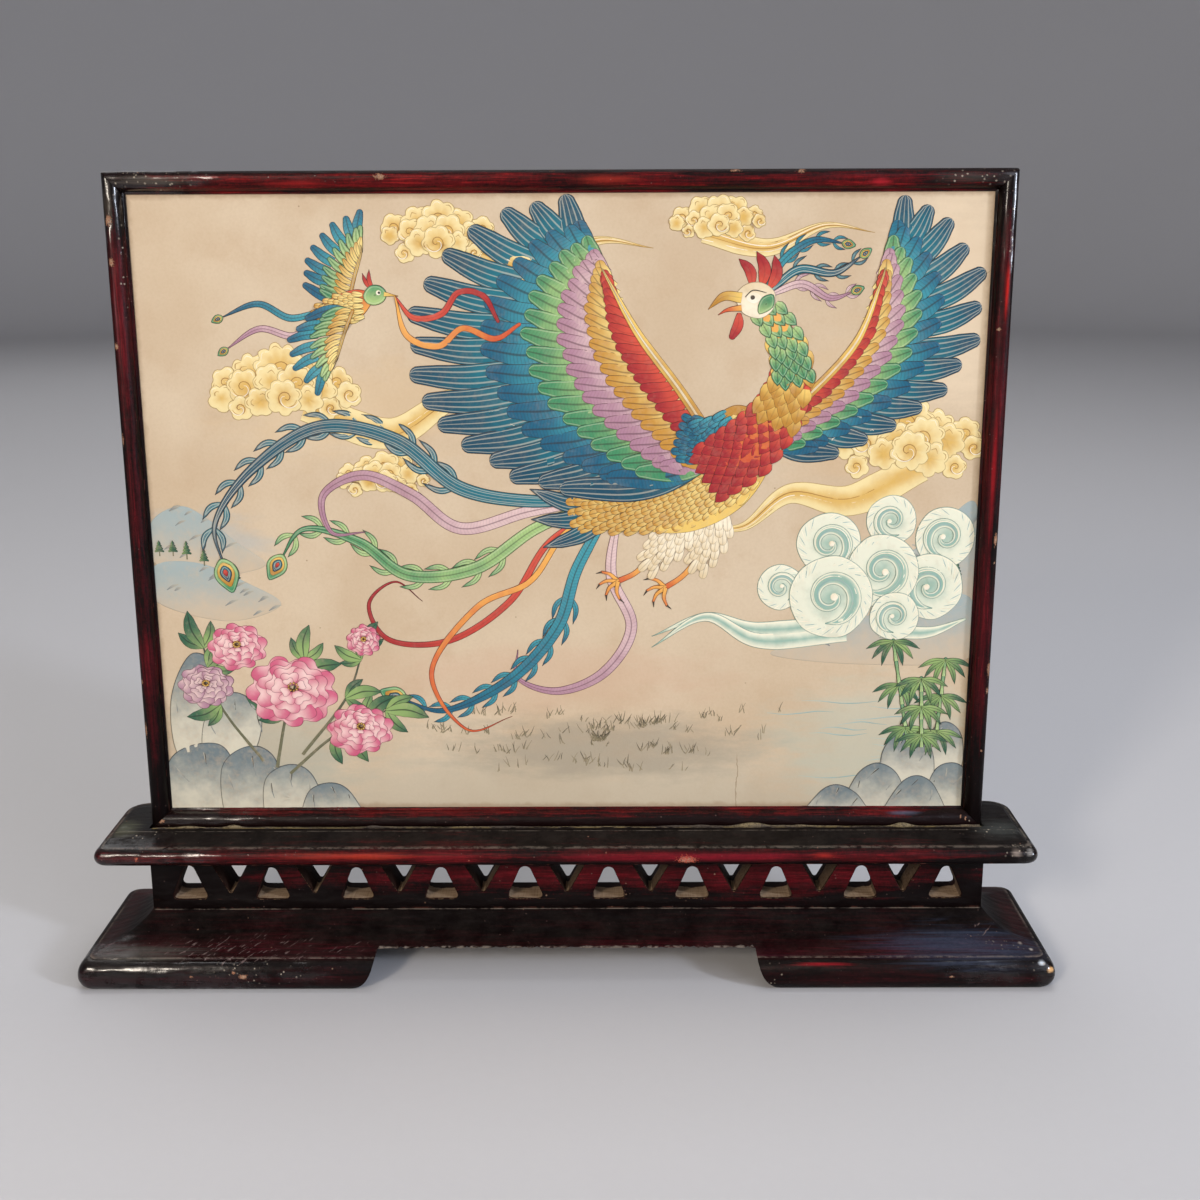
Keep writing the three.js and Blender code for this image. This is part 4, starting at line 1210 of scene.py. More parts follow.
        level = Lacquer(
            "rail_lacquer", Axis.X, redness=0.12, dustiness=0.04, chips=rail_chips, rubbed=rubbed, warm=ends + edges,
            glossy=(left_crest, right_crest, Chip((-115.0, -6.6, 46.5), 12.0, (2.2, 1.0, 1.0)),
                    Chip((-101.0, -6.4, 236.0), 3.0, (1.8, 1.0, 1.0))),
            # Flecks of crust at the top right corner and the bottom rail's right end; at the top left corner they are
            # painted glints that mottle the highlight.
            specks=(Chip((115.0, -6.6, 236.0), 4.0, (3.4, 1.0, 1.0)), Chip((124.0, -6.6, 46.0), 3.0, (1.8, 1.0, 1.0)),
                    Chip((-112.0, -6.6, 235.8), 4.0, (4.0, 1.0, 1.0))),
            # Red tints on the top rail, a grey painted sheen at both top corners and a blue-grey painted sheen at the
            # bottom rail's right end.
            tints_and_sheens=(TintAndSheen((13.4, -6.8, 235.4), 3.0, (4.0, 1.0, 0.6), 0x9C2A1E, 0.6),
                    TintAndSheen((88.5, -7.0, 234.4), 2.4, (1.8, 1.0, 0.6), 0xA81E28, 0.8),
                    TintAndSheen((-72.0, -7.0, 234.6), 3.0, (4.0, 1.0, 0.5), 0x9A1C1C, 0.6),
                    TintAndSheen((-113.0, -6.8, 235.8), 4.0, (3.6, 1.0, 0.5), 0x6A6054, 0.3),
                    TintAndSheen((113.0, -6.8, 235.8), 4.0, (3.2, 1.0, 0.6), 0x565048, 0.28),
                    TintAndSheen((103.0, -6.9, 48.6), 2.0, (3.2, 1.0, 0.5), 0x5A6478, 0.6)),
        ).make()
        turn = math.pi / 2
        sides = (
            ("top_moulding", "frame_top_rail", self.width, self.height, 0.0, level),
            ("right_moulding", "frame_right_stile", self.height, self.width, turn, upright),
            ("bottom_moulding", "frame_bottom_rail", self.width, self.height, 2 * turn, level),
            ("left_moulding", "frame_left_stile", self.height, self.width, -turn, upright),
        )
        for name, node, length, across, angle, material in sides:
            rail = self.rail(name, length, across, angle)
            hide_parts(node)
            Bench.dress(rail, material, "frame_lacquer")


def smooth_line(points: Sequence[complex], step: float, closed: bool = False) -> list[complex]:
    """Even steps along a smooth line.

    Args:
        points: what the line passes through.
        step: the distance between the points that it returns.
        closed: whether the line comes back to its start.

    Returns:
        Points on the line.
    """
    count = len(points)
    dense: list[complex] = []
    for i in range(count if closed else count - 1):
        start, finish = points[i], points[(i + 1) % count]
        before = points[i - 1] if closed or i else 2 * start - finish
        after = points[(i + 2) % count] if closed or i + 2 < count else 2 * finish - start
        for j in range(SPAN_STEPS):
            t = j / SPAN_STEPS
            bend = 2 * before - 5 * start + 4 * finish - after
            twist = 3 * start - before - 3 * finish + after
            dense.append(0.5 * (2 * start + (finish - before) * t + bend * t * t + twist * t ** 3))
    dense.append(points[0] if closed else points[-1])
    gone = [0.0]
    for a, b in zip(dense, dense[1:]):
        gone.append(gone[-1] + abs(b - a))
    pieces = max(3 if closed else 2, round(gone[-1] / step))
    even: list[complex] = []
    j = 0
    for i in range(pieces + (0 if closed else 1)):
        target = gone[-1] * i / pieces
        while j < len(gone) - 2 and gone[j + 1] < target:
            j += 1
        share = (target - gone[j]) / max(gone[j + 1] - gone[j], 1e-9)
        even.append(lerp(dense[j], dense[j + 1], min(share, 1.0)))
    return even


def at_share(values: Sequence, share: float) -> "float | complex":
    """The value a share of the way along a list, with straight runs between its entries."""
    place = min(max(share, 0.0), 1.0) * (len(values) - 1)
    i = min(int(place), len(values) - 2)
    return lerp(values[i], values[i + 1], place - i)


def direction(degrees: float, length: float = 1.0) -> complex:
    """A step in a direction, in degrees anticlockwise from the right."""
    return cmath.rect(length, math.radians(degrees))


def placed(points: Sequence[complex], origin: complex, turn: complex, flip: float = 1.0) -> list[complex]:
    """A pattern drawn to a unit size, laid from origin along turn, its upper side at flip's side."""
    return [origin + turn * complex(p.real, p.imag * flip) for p in points]


class Run(Enum):
    """What the gradient of a tint follows on each carved shape."""

    ALONG = "along"
    ACROSS = "across"
    INWARD = "inward"


@dataclass(frozen=True)
class Tint:
    """A watercolour tint on the carved stone, with the ink line that runs along its edges."""

    name: str
    light: int
    deep: int
    ink: int = 0x2B231F
    run: Run = Run.ALONG
    line: float = 0.3
    strength: float = 0.9
    rim: float = 0.0
    vein: float = 0.0
    ribs: float = 0.0
    barbs: float = 0.0
    worn: float = 0.3

    def make(self) -> bpy.types.Material:
        """Builds the material from the marks that the carved meshes carry."""
        tree = FinishTree(self.name)
        edge, across, along, reach, tone = (tree.mark(name) for name in MARKS)
        brushed = tree.noise(1.3, 3.0, 0.6)
        blotch = tree.noise(5.0, 3.0, 0.6, shift=(4.0, 2.0, 9.0))
        side = abs(across)
        shade = {Run.ALONG: along, Run.ACROSS: side, Run.INWARD: 1 - side}[self.run]
        shade = (shade + (tone - 0.5) * 0.8 + (blotch - 0.5) * 0.7).between(0.05, 0.95)
        colour = tree.mix(shade, self.light, self.deep)
        colour = tree.mix((brushed * 0.6 + blotch * 0.7).between(0.6, 0.95) * self.worn, colour, STONE_SHADE)
        if self.barbs:
            wave = tree.node("ShaderNodeMath", {"operation": "SINE"}, {0: reach * 6.4 + side * 5.0})
            colour = tree.mix(wave.between(0.3, 0.95) * self.barbs, colour, self.ink)
        if self.ribs:
            rib = abs(side - 0.42).between(0.09, 0.03).at_least(side.between(0.06, 0.02))
            colour = tree.mix(rib * self.ribs, colour, PALE_SHADE)
        if self.rim:
            rim = abs(edge - self.line * 1.9).between(0.17, 0.06) * self.rim
            colour = tree.mix(rim, colour, PALE_SHADE)
        if self.vein:
            colour = tree.mix(side.between(0.15, 0.05) * self.vein, colour, self.ink)
        if self.line:
            drawn = (edge + (brushed - 0.5) * 0.14).between(self.line, self.line * 0.55)
            drawn = drawn * (blotch * 0.8 + 0.75).at_most(1.0)
            colour = tree.mix(drawn * self.strength, colour, self.ink)
        normal = tree.bump(brushed, 0.03)
        return tree.close(colour, 0.4 + blotch * 0.16, normal, specular_ior_level=0.4)


MARKS = ("edge", "across", "along", "reach", "tone")
STONE_SHADE = 0xC6B092
PALE_SHADE = 0xF0E7CC
SPAN_STEPS = 12
POINTED = (0.3, 0.75, 1.0, 0.92, 0.66, 0.06)
QUILL = (0.35, 0.62, 0.84, 0.96, 1.0, 1.0, 0.94, 0.84, 0.66)
HACKLE = (0.5, 0.8, 0.85, 0.7, 0.45, 0.05)
TILE = (0.5, 0.72, 0.8, 0.76)
ROUND_END = (0.4, 0.7, 0.9, 1.0)
TUCK = 0.1
LEAN = 0.88

TEAL = Tint("teal", 0x136D7C, 0x04435A, line=0.36, rim=0.35, ribs=0.3, worn=0.12)
AZURE = Tint("azure", 0x3F96A2, 0x0B5A78, line=0.3, vein=0.6, barbs=0.22, worn=0.12)
GREEN = Tint("green", 0xA5C47E, 0x3D8A5E, line=0.34, rim=0.25, vein=0.5, barbs=0.14, worn=0.15)
MAUVE = Tint("mauve", 0xDCC0BC, 0xA87C90, 0x5A3A44, line=0.3, vein=0.6, barbs=0.12, worn=0.2)
PINK = Tint("pink", 0xEBC9C4, 0xC8587A, 0x7A3346, run=Run.ALONG, line=0.26, worn=0.15)
RED = Tint("red", 0xD0503C, 0x9C1F28, 0x431414, line=0.28, vein=0.2, worn=0.12)
ORANGE = Tint("orange", 0xE9AC55, 0xC9502C, 0x54200F, line=0.26, worn=0.12)
CLOUD = Tint("cloud", 0xEAD79E, 0xD6AE5C, 0x94713A, run=Run.INWARD, line=0.3, strength=0.8, worn=0.2)
CELADON = Tint("celadon", 0xE2E3CC, 0x8FB2A2, 0x55776C, run=Run.INWARD, line=0.3, rim=0.75, worn=0.2)
CREAM = Tint("cream", 0xF2E7CC, 0xD9C49C, 0x6D5A48, line=0.24, strength=0.8, vein=0.35)
GOLD = Tint("gold", 0xE8C469, 0xB5812F, 0x5B3A18, line=0.24, strength=0.85, vein=0.2)
SCALE = Tint("scale", 0xEED78A, 0xC08A34, 0x3A2A1C, run=Run.ALONG, line=0.26, vein=0.5)
ROCK = Tint("rock", 0xCFC9B4, 0x66757A, 0x2C2F30, line=0.4, strength=0.75, worn=0.4)
LEAF = Tint("leaf", 0x8DAA66, 0x2E5C44, 0x1E2B22, line=0.24, vein=0.8)
HILL = Tint("hill", 0xC6B49A, 0x9DABAA, 0x7A8A8E, line=0.22, strength=0.35, worn=0.5)
INK = Tint("ink", 0x3B332C, 0x241E1B, line=0.0)
GREY = Tint("grey", 0xA9A697, 0x7C8282, line=0.0, worn=0.5)
GRASS = Tint("grass", 0x6B6A50, 0x3D4636, line=0.0)
SEDGE = Tint("sedge", 0x8F8468, 0x55503F, line=0.0, worn=0.4)
AMBER = Tint("amber", 0xB98C44, 0x9A7034, line=0.0, worn=0.1)
PALE = Tint("pale", 0xF6EEDA, 0xEADFC4, line=0.0, worn=0.1)
WATER = Tint("water", 0xA9BBB4, 0x7FA3A4, line=0.0, worn=0.4)


@dataclass
class Carving:
    """All shapes of one tint, gathered into one mesh."""

    tint: Tint
    points: list[Place] = field(default_factory=list)
    faces: list[tuple[int, ...]] = field(default_factory=list)
    marks: list[tuple[float, ...]] = field(default_factory=list)

    def bridge(self, ring: Sequence[int], after: Sequence[int]) -> None:
        """Closes the gap between two rings of points."""
        count = len(ring)
        for j in range(count):
            k = (j + 1) % count
            self.faces.append((ring[j], ring[k], after[k], after[j]))

    def make(self) -> None:
        """Makes the piece from the gathered shapes."""
        name = f"carved_{self.tint.name}"
        mesh = bpy.data.meshes.new(name)
        mesh.from_pydata(self.points, [], self.faces)
        for mark, values in zip(MARKS, zip(*self.marks)):
            mesh.attributes.new(mark, "FLOAT", "POINT").data.foreach_set("value", values)
        obj = bpy.data.objects.new(name, mesh)
        bpy.context.scene.collection.objects.link(obj)
        Bench.edit(obj, "FACE")
        bpy.ops.mesh.select_all(action="SELECT")
        bpy.ops.mesh.normals_make_consistent(inside=False)
        Bench.done()
        Bench.smooth(obj, 55.0)
        Bench.dress(obj, self.tint.make(), "stone")


@dataclass
class Carver:
    """Carves strokes and patches that lie over whatever was carved before them.

    Places are complex numbers in millimetres on the plaque's face: the real part runs to the right
    and the imaginary part up, from the middle of what the frame leaves open.
    """

    face: float
    middle: float
    half_width: float = 121.2
    half_height: float = 91.05
    cell: float = 0.4
    sink: float = 0.12
    depth: float = 0.62
    stock: float = 0.7
    seed: int = 7
    carvings: dict[str, Carving] = field(default_factory=dict)

    def __post_init__(self) -> None:
        """Starts with a flat face."""
        self.columns = int(2 * self.half_width / self.cell) + 3
        self.rows = int(2 * self.half_height / self.cell) + 3
        self.heights = [0.0] * (self.columns * self.rows)
        self.ground = self.heights
        self.draw = random.Random(self.seed)

    def _cell(self, spot: complex) -> int:
        """The number of the height cell at a spot."""
        column = int((spot.real + self.half_width) / self.cell)
        row = int((spot.imag + self.half_height) / self.cell)
        return min(max(row, 1), self.rows - 2) * self.columns + min(max(column, 1), self.columns - 2)

    @contextmanager
    def layer(self) -> Iterator[None]:
        """Lays the shapes that are carved inside it on what was there before, and not on each other."""
        self.ground = list(self.heights)
        yield
        self.ground = self.heights

    def under(self, spot: complex) -> float:
        """The height of what is carved so far, at a spot and just round it."""
        i = self._cell(spot)
        heights = self.ground
        return max(heights[i], heights[i - 1], heights[i + 1], heights[i - self.columns], heights[i + self.columns])

    def _point(self, carving: Carving, spot: complex, height: float, marks: tuple[float, ...]) -> int:
        """Adds a point to a carving, kept inside what the frame leaves open and pressed down where layers pile up."""
        u = min(max(spot.real, -self.half_width), self.half_width)
        v = min(max(spot.imag, -self.half_height), self.half_height)
        settled = self.stock * math.log1p(height / self.stock) if height > 0 else height
        carving.points.append((u * MM, (self.face - settled) * MM, (self.middle + v) * MM))
        carving.marks.append(marks)
        return len(carving.points) - 1

    def _carving(self, tint: Tint) -> Carving:
        """The carving that gathers a tint's shapes."""
        return self.carvings.setdefault(tint.name, Carving(tint))

    def vary(self, amount: float) -> float:
        """A small number either side of nothing."""
        return self.draw.uniform(-amount, amount)

    def stroke(self, tint: Tint, points: Sequence[complex], widths: Sequence[float], rise: float = 0.3,
               tone: float = 0.5, step: float = 0.8, lean: float = 0.0) -> None:
        """Carves a rounded stroke.

        Args:
            tint: its colour.
            points: what its middle line passes through.
            widths: its widths, evenly spread along it.
            rise: how far it stands over what it lies on.
            tone: from 0 to 1, how deep its colour is.
            step: the distance between its sections.
            lean: how much thinner its start is than its end, as a share.
        """
        carving = self._carving(tint)
        line = smooth_line(points, step)
        halves = [max(at_share(widths, i / (len(line) - 1)) / 2, 0.05) for i in range(len(line))]
        if widths[-1] > 0.7:
            end, reach = line[-1], halves[-1]
            way = (end - line[-2]) / abs(end - line[-2])
            for share in ROUND_END:
                line.append(end + way * reach * share)
                halves.append(reach * math.sqrt(1 - share * share) + 0.02)
        last = len(line) - 1
        sections = []
        for i, centre in enumerate(line):
            half = halves[i]
            way = line[min(i + 1, last)] - line[max(i - 1, 0)]
            side = 1j * way / max(abs(way), 1e-9)
            lift = self.depth * rise * min(1.0, half / 0.5) * lerp(1 - lean, 1.0, min(i / last * 1.2, 1.0))
            if max(widths) < 0.9:
                shape = [(half, 0.0, None), (half * 0.55, half, lift), (-half * 0.55, half, lift), (-half, 0.0, None)]
            else:
                near, far = min(0.1, half * 0.3), min(0.32, half * 0.65)
                rising = [(half, 0.0, None), (half - near, near, lift * 0.6), (half - far, far, lift * 0.95)]
                falling = [(-reach, inset, height) for reach, inset, height in reversed(rising)]
                shape = rising + [(0.0, half, lift * 1.12)] + falling
            sections.append([(centre + side * reach, reach / half, inset, height, self.under(centre + side * reach))
                             for reach, inset, height in shape])
        rings: list[list[int]] = []
        laid: list[tuple[complex, float]] = []
        gone = 0.0
        for i, section in enumerate(sections):
            before, after = sections[max(i - 1, 0)], sections[min(i + 1, last)]
            gone += abs(line[i] - line[max(i - 1, 0)])
            ring = []
            for j, (spot, across, inset, height, ground) in enumerate(section):
                level = -self.sink
                if height is not None:
                    level = max(ground, (before[j][4] + ground + after[j][4]) / 3) + height
                    laid.append((spot, level))
                ring.append(self._point(carving, spot, level, (inset, across, i / last, gone, tone)))
            rings.append(ring)
        for ring, after_ring in zip(rings, rings[1:]):
            carving.bridge(ring, after_ring)
        carving.faces += [tuple(reversed(rings[0])), tuple(rings[-1])]
        self._cover(laid)

    def _cover(self, laid: Sequence[tuple[complex, float]], spread: int = 1) -> None:
        """Notes the heights of new points, and of the cells round them."""
        raised: dict[int, float] = {}
        for spot, level in laid:
            i = self._cell(spot)
            for j in (i, i - spread, i + spread, i - self.columns, i + self.columns):
                raised[j] = max(raised.get(j, 0.0), level)
        for i, level in raised.items():
            self.heights[i] = max(self.heights[i], level)

    def patch(self, tint: Tint, outline: Sequence[complex], rise: float = 0.3, tone: float = 0.5, crown: float = 0.35,
              root: complex | None = None, step: float = 0.9, roll: complex = 0j) -> None:
        """Carves a domed patch inside a smooth closed outline.

        Args:
            tint: its colour.
            outline: what its edge passes through.
            rise: how far its edge stands over what it lies on.
            tone: from 0 to 1, how deep its colour is.
            crown: how much higher its middle stands, as a share of rise.
            root: where its gradient starts, or nothing for its foot.
            step: the distance between points of its edge.
            roll: the way in which its surface climbs, and the share of its rise that each millimetre adds.
        """
        carving = self._carving(tint)
        line = smooth_line(outline, step, closed=True)
        count = len(line)
        area = sum((a.conjugate() * b).imag for a, b in zip(line, line[1:] + line[:1]))
        if area < 0:
            line.reverse()
        centre = sum(line) / count
        if root is None:
            low, high = min(p.imag for p in line), max(p.imag for p in line)
            gradient: Callable[[complex], float] = lambda p: (p.imag - low) / max(high - low, 1e-6)
        else:
            span = max(abs(p - root) for p in line)
            gradient = lambda p: abs(p - root) / span
        far_ring: list[complex] = []
        for i, spot in enumerate(line):
            way = line[(i + 1) % count] - line[i - 1]
            far_ring.append(spot + 1j * way / max(abs(way), 1e-9) * min(0.32, abs(centre - spot) * 0.5))
        rings: list[list[int]] = []
        laid: list[tuple[complex, float]] = []
        inner_shares = [0.3, 0.6, 0.85] if abs(area) > 60 else [0.5]
        climb: Callable[[complex], float] = lambda p: max(0.3, 1 + ((p - centre) * roll.conjugate()).real)
        for share, height in [(-1.0, None), (-0.7, 0.6), (0.0, 0.95)] + [(s, 1 + crown * s) for s in inner_shares]:
            ring = []
            for spot, far in zip(line, far_ring):
                place = lerp(far, spot, -share) if share < 0 else lerp(far, centre, share)
                gone = abs(place - spot)
                level = -self.sink if height is None else self.under(place) + self.depth * rise * height * climb(place)
                if height is not None:
                    laid.append((place, level))
                across = 1 - gone / max(abs(centre - spot), 1e-6)
                ring.append(self._point(carving, place, level, (gone, across, gradient(place), 0.0, tone)))
            rings.append(ring)
        for ring, after_ring in zip(rings, rings[1:]):
            carving.bridge(ring, after_ring)
        top_level = self.under(centre) + self.depth * rise * (1 + crown)
        top = self._point(carving, centre, top_level, (9.0, 0.0, gradient(centre), 0.0, tone))
        carving.faces += [(a, b, top) for a, b in zip(rings[-1], rings[-1][1:] + rings[-1][:1])]
        carving.faces.append(tuple(reversed(rings[0])))
        between = [(lerp(a[0], b[0], 0.5), min(a[1], b[1])) for a, b in zip(laid, laid[count:])]
        self._cover(laid + between + [(centre, top_level)])

    def dot(self, tint: Tint, spot: complex, radius: float, rise: float = 0.25, tone: float = 0.5) -> None:
        """Carves a small round boss."""
        self.patch(tint, [spot + direction(60 * i, radius) for i in range(6)], rise, tone, 0.6, step=radius * 0.7)

    def leaf(self, tint: Tint, root: complex, tip: complex, width: float, bend: float = 0.12, rise: float = 0.3,
             tone: float = 0.5, profile: Sequence[float] = POINTED) -> None:
        """Carves a pointed leaf or feather from its root to its tip, bowed to its left by a share of its length."""
        run = tip - root
        points = [root, root + run * 0.5 + 1j * run * bend, tip]
        self.stroke(tint, points, [width * w for w in profile], rise, tone, max(0.7, abs(run) / 30), LEAN)

    def spiral(self, tint: Tint, centre: complex, radius: float, start: float, turns: float, width: float,
               rise: float = 0.22) -> None:
        """Carves a spiral line from its outer end inwards; the turns' sign is its way round."""
        steps = max(8, int(abs(turns) * 12))
        points = [centre + direction(start + 360 * turns * i / steps, radius * (1 - 0.86 * i / steps))
                  for i in range(steps + 1)]
        self.stroke(tint, points, [width * 0.4, width, width, width, width * 0.7], rise, step=0.7)


@dataclass(frozen=True)
class ScrollCloud:
    """A bank of fluffy cloud heads, some with a scroll, and a long swept tail with lines along it."""

    middle: complex
    size: float
    flip: float = 1.0
    tail: tuple[complex, ...] = ()
    heads: int = 15

    def carve(self, carver: Carver) -> None:
        """Carves the tail, then the heads from the back row to the front."""
        if self.tail:
            self._sweep(carver)
        rows = ((0.42, 1.5, 0.62), (0.12, 1.75, 0.5), (-0.3, 1.25, 0.48))
        for number, (lift, reach, radius) in enumerate(rows):
            count = self.heads // 3 + (1 if number == 1 else 0)
            order = sorted(range(count), key=lambda i: -abs(i - (count - 1) / 2))
            for i in order:
                along = 2 * i / (count - 1) - 1
                spot = complex(along * reach + carver.vary(0.08), lift + 0.3 * (1 - along * along) + carver.vary(0.1))
                size = self.size * radius * (1.15 - 0.45 * abs(along)) * (1 + carver.vary(0.12))
                self._head(carver, self.middle + self.size * spot, size, along + self.flip * 0.2, (i + number) % 2 == 0)

    def _sweep(self, carver: Carver) -> None:
        """Carves the swept tail."""
        wide = self.size * 0.95
        carver.stroke(CLOUD, self.tail, [wide * w for w in (0.9, 1.0, 0.8, 0.5, 0.22, 0.03)], 0.2, 0.4)
        line = smooth_line(self.tail, 3.0)
        for offset, tint, last in ((0.3, AMBER, 0.8), (0.12, PALE, 0.92), (-0.08, AMBER, 0.95), (-0.28, PALE, 0.75)):
            points = []
            for i in range(int(len(line) * last)):
                way = line[min(i + 1, len(line) - 1)] - line[max(i - 1, 0)]
                taper = 1 - i / len(line)
                points.append(line[i] + 1j * way / abs(way) * wide * offset * taper)
            carver.stroke(tint, points, [0.25, 0.45, 0.45, 0.15], 0.12)

    def _head(self, carver: Carver, centre: complex, radius: float, along: float, scroll: bool) -> None:
        """Carves one head with its scalloped edge, and its scroll or its fold lines."""
        bumps = max(5, round(radius * 1.35))
        turn = carver.vary(30)
        outline = []
        for i in range(bumps):
            for share, reach in ((0.0, 0.86), (0.12, 0.96), (0.34, 1.06), (0.66, 1.06), (0.88, 0.96)):
                outline.append(centre + direction(turn + 360 * (i + share) / bumps, radius * (reach + carver.vary(0.025))))
        carver.patch(CLOUD, outline, 0.3, 0.45 + carver.vary(0.2), 0.6)
        way = 1.0 if along < 0 else -1.0
        start = 90 + 100 * way
        if scroll:
            eye = centre + direction(start, radius * 0.12)
            carver.spiral(AMBER, eye, radius * 0.6, start, 1.3 * way, 0.42)
            carver.spiral(PALE, eye, radius * 0.72, start + 10 * way, 0.6 * way, 0.4)
        for i in range(bumps):
            degrees = turn + 360 * (i + 0.5) / bumps
            if math.sin(math.radians(degrees)) > -0.35:
                arc = [centre + direction(degrees + a, radius * r) for a, r in ((-15, 0.8), (0, 0.93), (15, 0.8))]
                carver.stroke(PALE if i % 3 else AMBER, arc, [0.15, 0.38, 0.15], 0.12)
                if not scroll and i % 2:
                    inner = [centre + direction(degrees + a, radius * r) for a, r in ((-26, 0.5), (0, 0.66), (26, 0.5))]
                    carver.stroke(AMBER, inner, [0.15, 0.4, 0.15], 0.12)


@dataclass(frozen=True)
class WaveCurl:
    """A curl of mist: a broad ridge that winds in to its eye, combed across, over a combed crest."""

    centre: complex
    radius: float
    lean: float
    way: float = 1.0

    def _spot(self, degrees: float, reach: float) -> complex:
        """A spot at an angle from the curl's lean, at a share of its radius."""
        return self.centre + direction(self.lean + degrees * self.way, self.radius * reach)

    def carve(self, carver: Carver) -> None:
        """Carves the crest, its comb, the winding ridge and the lines along it."""
        radius = self.radius
        crest = [self._spot(30 * k, 1 + carver.vary(0.03)) for k in range(12)]
        carver.patch(CELADON, crest, 0.3, 0.3 + carver.vary(0.15), 0.4)
        teeth = round(radius * 3.2)
        for k in range(teeth):
            degrees = 330 * k / teeth
            tooth = [self._spot(degrees, 0.97), self._spot(degrees + 7, 0.86), self._spot(degrees + 19, 0.74)]
            carver.stroke(PALE if k % 2 else WATER, tooth, [0.12, 0.42, 0.1], 0.12)
        winding = [self._spot(150 + 460 * t, 0.66 - 0.5 * t) for t in (i / 16 for i in range(17))]
        carver.stroke(CELADON, winding, [radius * w for w in (0.04, 0.26, 0.36, 0.36, 0.32, 0.27, 0.22, 0.16)], 0.34, 0.7)
        for reach, share, tint in ((0.7, 0.72, PALE), (0.61, 0.8, WATER)):
            line = [self._spot(172 + 440 * share * t, reach - 0.5 * share * t) for t in (i / 14 for i in range(15))]
            carver.stroke(tint, line, [0.15, 0.5, 0.5, 0.2], 0.14)
        carver.dot(PALE, self._spot(150 + 460, 0.08), radius * 0.1, 0.3)


@dataclass(frozen=True)
class Peony:
    """A full flower of four rings of notched petals, seen a little from the side."""

    centre: complex
    radius: float
    tint: Tint = PINK
    tilt: float = 0.84
    petal: tuple[complex, ...] = (
        0.22 - 0.1j, 0.46 - 0.36j, 0.8 - 0.48j, 0.98 - 0.34j, 0.97 - 0.16j, 0.9 - 0.03j, 0.99 + 0.1j, 1.03 + 0.26j,
        0.88 + 0.46j, 0.5 + 0.38j, 0.22 + 0.1j,
    )

    def carve(self, carver: Carver) -> None:
        """Carves the petals from the outer ring to the heart."""
        for share, count, tone in ((1.0, 9, 0.12), (0.82, 8, 0.3), (0.64, 7, 0.5), (0.46, 5, 0.7), (0.3, 4, 0.9)):
            offset = carver.vary(40)
            lift = direction(80, self.radius * (1 - share) * 0.16)
            with carver.layer():
                for i in range(count):
                    degrees = offset + 360 * i / count + carver.vary(6)
                    turn = direction(degrees, self.radius * share * (1 + carver.vary(0.06)))
                    outline = [self._tilted(p) + lift for p in placed(self.petal, self.centre, turn)]
                    carver.patch(self.tint, outline, 0.3, 1 - tone * 0.9, 0.25, outline[5],
                                 roll=direction(degrees + 90, 1.2 / (self.radius * share)))
        for i in range(9):
            tip = self._tilted(self.centre + direction(40 * i, self.radius * 0.11)) + direction(80, self.radius * 0.14)
            carver.dot(GOLD, tip, 0.42, 0.3)

    def _tilted(self, spot: complex) -> complex:
        """A spot of the flower as it is seen, a little from the side."""
        return complex(spot.real, lerp(self.centre.imag, spot.imag, self.tilt))


@dataclass(frozen=True)
class LeafSpray:
    """A stem with three-fingered leaves."""

    stem: tuple[complex, ...]
    leaves: tuple[tuple[complex, float, float], ...]

    def carve(self, carver: Carver) -> None:
        """Carves the stem, then each leaf of three fingers."""
        carver.stroke(GRASS, self.stem, [1.1, 0.9, 0.6], 0.3)
        for root, degrees, length in self.leaves:
            for offset, share in ((-38, 0.72), (38, 0.72), (0, 1.0)):
                tip = root + direction(degrees + offset, length * share)
                carver.leaf(LEAF, root, tip, length * 0.34 * share + 0.6, 0.1 if offset >= 0 else -0.1,
                            tone=0.5 + carver.vary(0.4))


@dataclass(frozen=True)
class GardenRock:
    """A pierced garden stone, drawn as piled blocks with ink strokes down their shaded sides."""

    blocks: tuple[tuple[complex, ...], ...]
    lean: float = -70.0

    def carve(self, carver: Carver) -> None:
        """Carves the blocks and their strokes."""
        for block in self.blocks:
            carver.patch(ROCK, block, 0.4, 0.45 + carver.vary(0.2), 0.5)
            centre = sum(block) / len(block)
            for corner in [p for p in block if p.imag > -90]:
                start = lerp(centre, corner, 0.82)
                end = start + direction(self.lean + carver.vary(25), abs(corner - centre) * 0.5)
                if carver.draw.random() < 0.75:
                    carver.stroke(GREY, [start, lerp(start, end, 0.5) + carver.vary(0.4), end], [0.3, 0.8, 0.2], 0.1)
                if carver.draw.random() < 0.5:
                    carver.stroke(INK, [start + 0.5, lerp(start, end, 0.6)], [0.3, 0.45, 0.1], 0.12)


